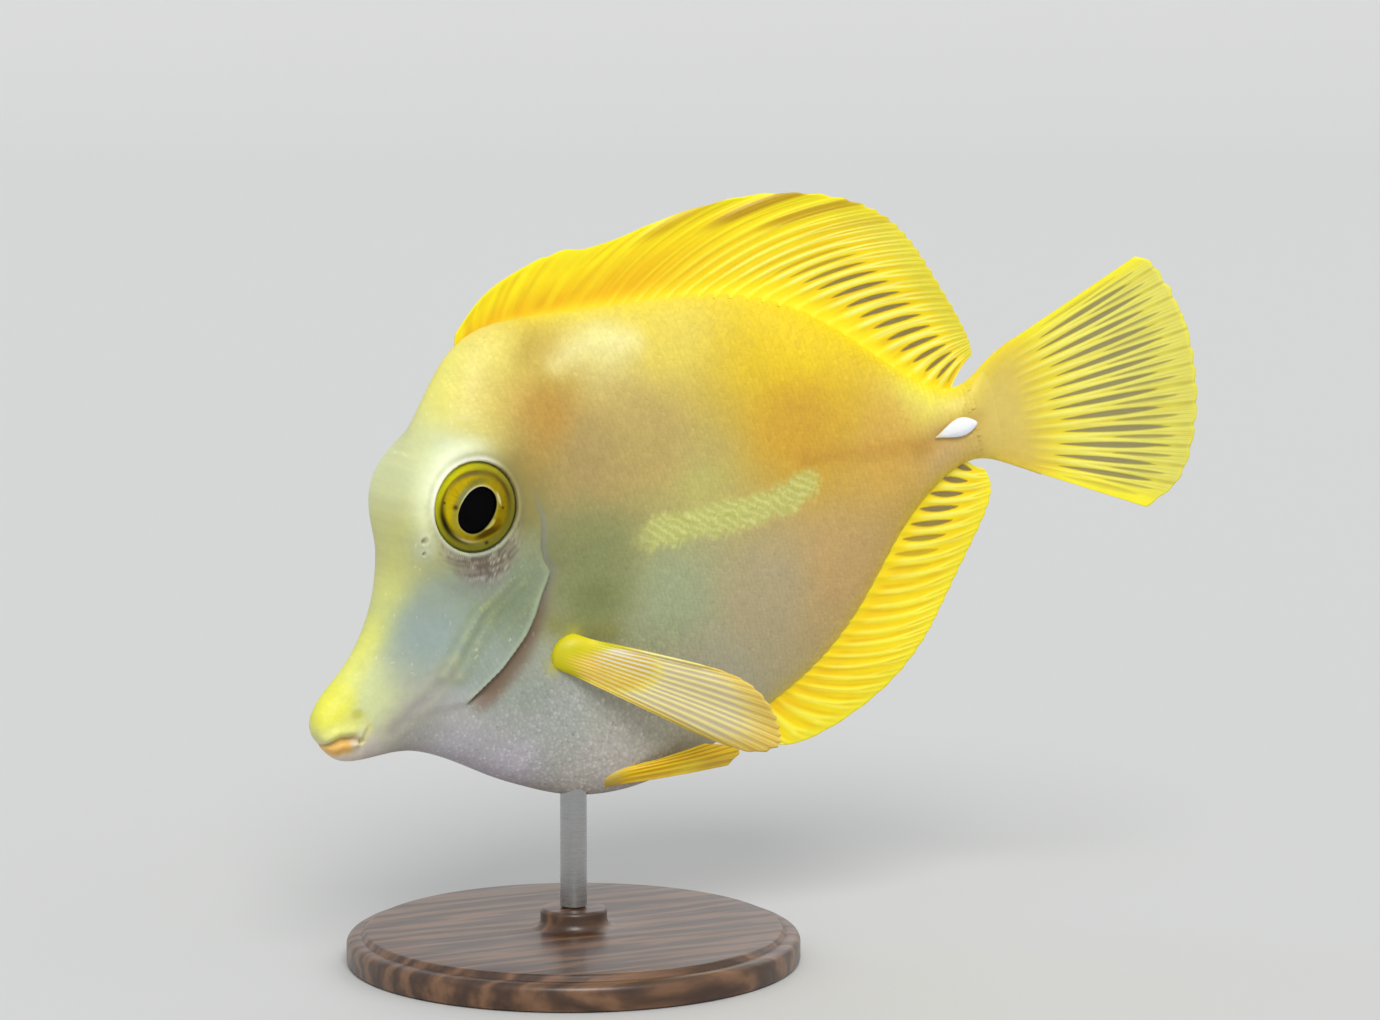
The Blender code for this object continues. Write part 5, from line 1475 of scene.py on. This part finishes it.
def make_stand(wood, steel):
    profile = [(33.2, 0.0), (33.8, 0.25), (34.0, 0.7), (34.0, 3.0)]
    profile += arc_profile((32.9, 3.0), 1.1, 10, 80, 6)
    profile += [(32.2, 4.2), (31.8, 4.15), (31.5, 4.55)] + arc_profile((30.9, 4.45), 0.55, 20, 90, 5)
    profile += [(24.0, 5.0), (12.0, 5.0), (6.6, 5.0)]
    profile += [(5.7, 5.15), (5.2, 5.6), (5.0, 6.3)] + arc_profile((4.4, 7.4), 0.6, 0, 90, 6) + [(2.3, 8.0)]
    turned("stand_base_turned", profile, 144, wood, "stand_wood", "stand_base")
    low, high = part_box("stand_rod")
    foot, top = low.z / MM, high.z / MM
    body_top = np.array([v.co for v in frame["nodes"]["stand_rod"].data.vertices]) / MM
    sides = 64
    rings = [(1.75, foot - 0.25), (2.0, foot), (2.0, foot + 0.3), (2.0, foot + 8.0), (2.0, top - 2.2)]
    r = np.array([p[0] for p in rings])[:, None]
    h = np.array([p[1] for p in rings])[:, None]
    a = np.arange(sides)[None, :] * 2 * math.pi / sides
    grid = np.stack([r * np.cos(a), r * np.sin(a), h + 0 * a], axis=-1)
    rim = body_top[body_top[:, 2] > top - 3.0]
    fit = np.linalg.lstsq(np.c_[rim[:, :2], rim[:, 0] ** 2, rim[:, 1] ** 2, np.ones(len(rim))], rim[:, 2], rcond=None)[0]
    x, y = 2.0 * np.cos(a[0]), 2.0 * np.sin(a[0])
    last = np.stack([x, y, np.c_[x, y, x ** 2, y ** 2, np.ones(sides)] @ fit + 0.25], axis=-1)
    grid = np.concatenate([grid, last[None]])
    rows = len(grid)
    i = np.arange(rows - 1)[:, None] * sides
    j = np.arange(sides)[None, :]
    k = (j + 1) % sides
    quads = np.stack([i + j, i + k, i + sides + k, i + sides + j], axis=-1).reshape(-1, 4)
    n = rows * sides
    verts = np.concatenate([grid.reshape(-1, 3), [(0, 0, foot - 0.25), (0, 0, fit[-1] + 0.25)]])
    base = np.stack([np.full(sides, n), k[0], j[0]], axis=-1)
    tip = np.stack([np.full(sides, n + 1), (rows - 1) * sides + j[0], (rows - 1) * sides + k[0]], axis=-1)
    rod = new_mesh("stand_rod_steel", verts, [quads, base, tip], steel)
    rod.data.set_sharp_from_angle(angle=math.radians(35))
    ride(rod, "stand_steel", "stand_rod")


def wood_paint():
    paint = Paint("stand_walnut", Roughness=0.38, Coat_Weight=0.25, Coat_Roughness=0.18)
    place = paint.node("ShaderNodeTexCoord")
    spread = paint.node("ShaderNodeMapping")
    spread.inputs["Scale"].default_value = (1.0, 7.0, 5.0)
    paint.link(place.outputs["Object"], spread.inputs["Vector"])
    rings = paint.node("ShaderNodeTexWave", Scale=9.0, Distortion=9.0, Detail=4.0)
    rings.inputs["Detail Scale"].default_value = 3.0
    rings.bands_direction = "Y"
    paint.link(spread.outputs["Vector"], rings.inputs["Vector"])
    pores = paint.object_noise(90.0, 6.0, (1.0, 14.0, 10.0))
    ramp = paint.node("ShaderNodeValToRGB")
    ramp.color_ramp.elements[0].color = (0.050, 0.022, 0.010, 1)
    ramp.color_ramp.elements[1].color = (0.175, 0.085, 0.040, 1)
    middle = ramp.color_ramp.elements.new(0.55)
    middle.color = (0.100, 0.046, 0.021, 1)
    paint.link(rings.outputs["Fac"], ramp.inputs["Fac"])
    paint.mottled(ramp.outputs["Color"], pores.outputs["Fac"], 0.35)
    paint.spread(pores.outputs["Fac"], 0.30, 0.50, "Roughness")
    paint.bump(pores.outputs["Fac"], 0.25, 0.0002)
    return paint.mat


def steel_paint():
    paint = Paint("stand_steel", Metallic=1.0, Roughness=0.26)
    brushed = paint.object_noise(260.0, 5.0, (0.6, 0.6, 12.0))
    base = paint.node("ShaderNodeRGB")
    base.outputs[0].default_value = (0.40, 0.40, 0.40, 1.0)
    paint.mottled(base.outputs[0], brushed.outputs["Fac"], 0.12)
    paint.spread(brushed.outputs["Fac"], 0.18, 0.36, "Roughness")
    paint.bump(brushed.outputs["Fac"], 0.15, 0.00005)
    return paint.mat


# Floor, light and camera

def look_at(obj, place, target):
    obj.location = place
    obj.rotation_euler = (Vector(target) - Vector(place)).to_track_quat("-Z", "Y").to_euler()


def make_stage():
    paint = Paint("floor_pale", Roughness=0.9)
    paint.shader.inputs["Specular IOR Level"].default_value = 0.2
    paint.shader.inputs["Base Color"].default_value = (0.60, 0.60, 0.59, 1.0)
    turns = np.arange(96) * 2 * math.pi / 96
    profile = [(0.4, 0.0), (3.0, 0.0)]
    profile += [(3.0 + 4.0 * math.sin(a), 4.0 - 4.0 * math.cos(a)) for a in np.radians(np.arange(4, 64, 4))]
    rings = [np.stack([r * np.cos(turns), r * np.sin(turns), h + 0 * turns], axis=-1) for r, h in profile]
    verts = np.concatenate(rings + [np.zeros((1, 3))]) / MM
    i = np.arange(len(rings) - 1)[:, None] * 96
    j = np.arange(96)[None, :]
    k = (j + 1) % 96
    quads = np.stack([i + j, i + 96 + j, i + 96 + k, i + k], axis=-1).reshape(-1, 4)
    middle = np.stack([np.full(96, len(verts) - 1), j[0], k[0]], axis=-1)
    new_mesh("floor", verts, [quads, middle], paint.mat)
    sky = bpy.data.worlds.new("studio")
    bpy.context.scene.world = sky
    sky.use_nodes = True
    light = sky.node_tree.nodes["Background"]
    light.inputs["Color"].default_value = (0.93, 0.96, 1.0, 1.0)
    light.inputs["Strength"].default_value = 0.72


def sun(name, toward, power, spread, colour):
    """Soft distant light from the direction given."""
    light = bpy.data.lights.new(name, "SUN")
    light.energy = power
    light.angle = math.radians(spread)
    light.color = colour
    obj = bpy.data.objects.new(name, light)
    bpy.context.scene.collection.objects.link(obj)
    look_at(obj, toward, (0.0, 0.0, 0.0))


def make_lights():
    sun("key", (-0.26, -0.72, 0.66), 1.78, 28.0, (1.0, 0.985, 0.95))
    sun("fill", (0.80, 0.60, 0.55), 0.5, 50.0, (0.97, 0.98, 1.0))


def make_camera():
    camera = bpy.data.cameras.new("camera")
    camera.sensor_fit = "HORIZONTAL"
    camera.sensor_width = 36.0
    camera.lens = 36.0 * 4125.16 / 1380.0
    camera.clip_start = 0.01
    obj = bpy.data.objects.new("camera", camera)
    bpy.context.scene.collection.objects.link(obj)
    place = (np.array([-213.95, -548.31, 88.43]) + TO_STAND) * MM
    target = (np.array([65.43, 0.0, 12.87]) + TO_STAND) * MM
    look_at(obj, place, target)
    bpy.context.scene.camera = obj


def build():
    bpy.context.scene.view_settings.view_transform = "Standard"
    make_camera()
    make_stage()
    make_lights()
    make_skin(skin_paint("fish_skin", 0.46, 0.30, 0.10))
    make_scales(skin_paint("fish_scales", 0.44, 0.12, 0.0))
    fins = fin_paint("fin_yellow")
    dorsal(fins)
    anal(fins)
    caudal(fins)
    iris = iris_paint()
    clear = clear_paint()
    white = blade_paint()
    for side in (-1, 1):
        paired("pectoral", side, PECTORAL_ROOT, PECTORAL_RAYS, 60, 14, 0.04, fins, pectoral_paint, 1.25)
        paired("pelvic", side, PELVIC_ROOT, PELVIC_RAYS, 40, 14, 0.05, fins, pelvic_paint, 0.6)
        make_eye(side, iris, clear)
        make_blade(side, white)
    make_stand(wood_paint(), steel_paint())


build()
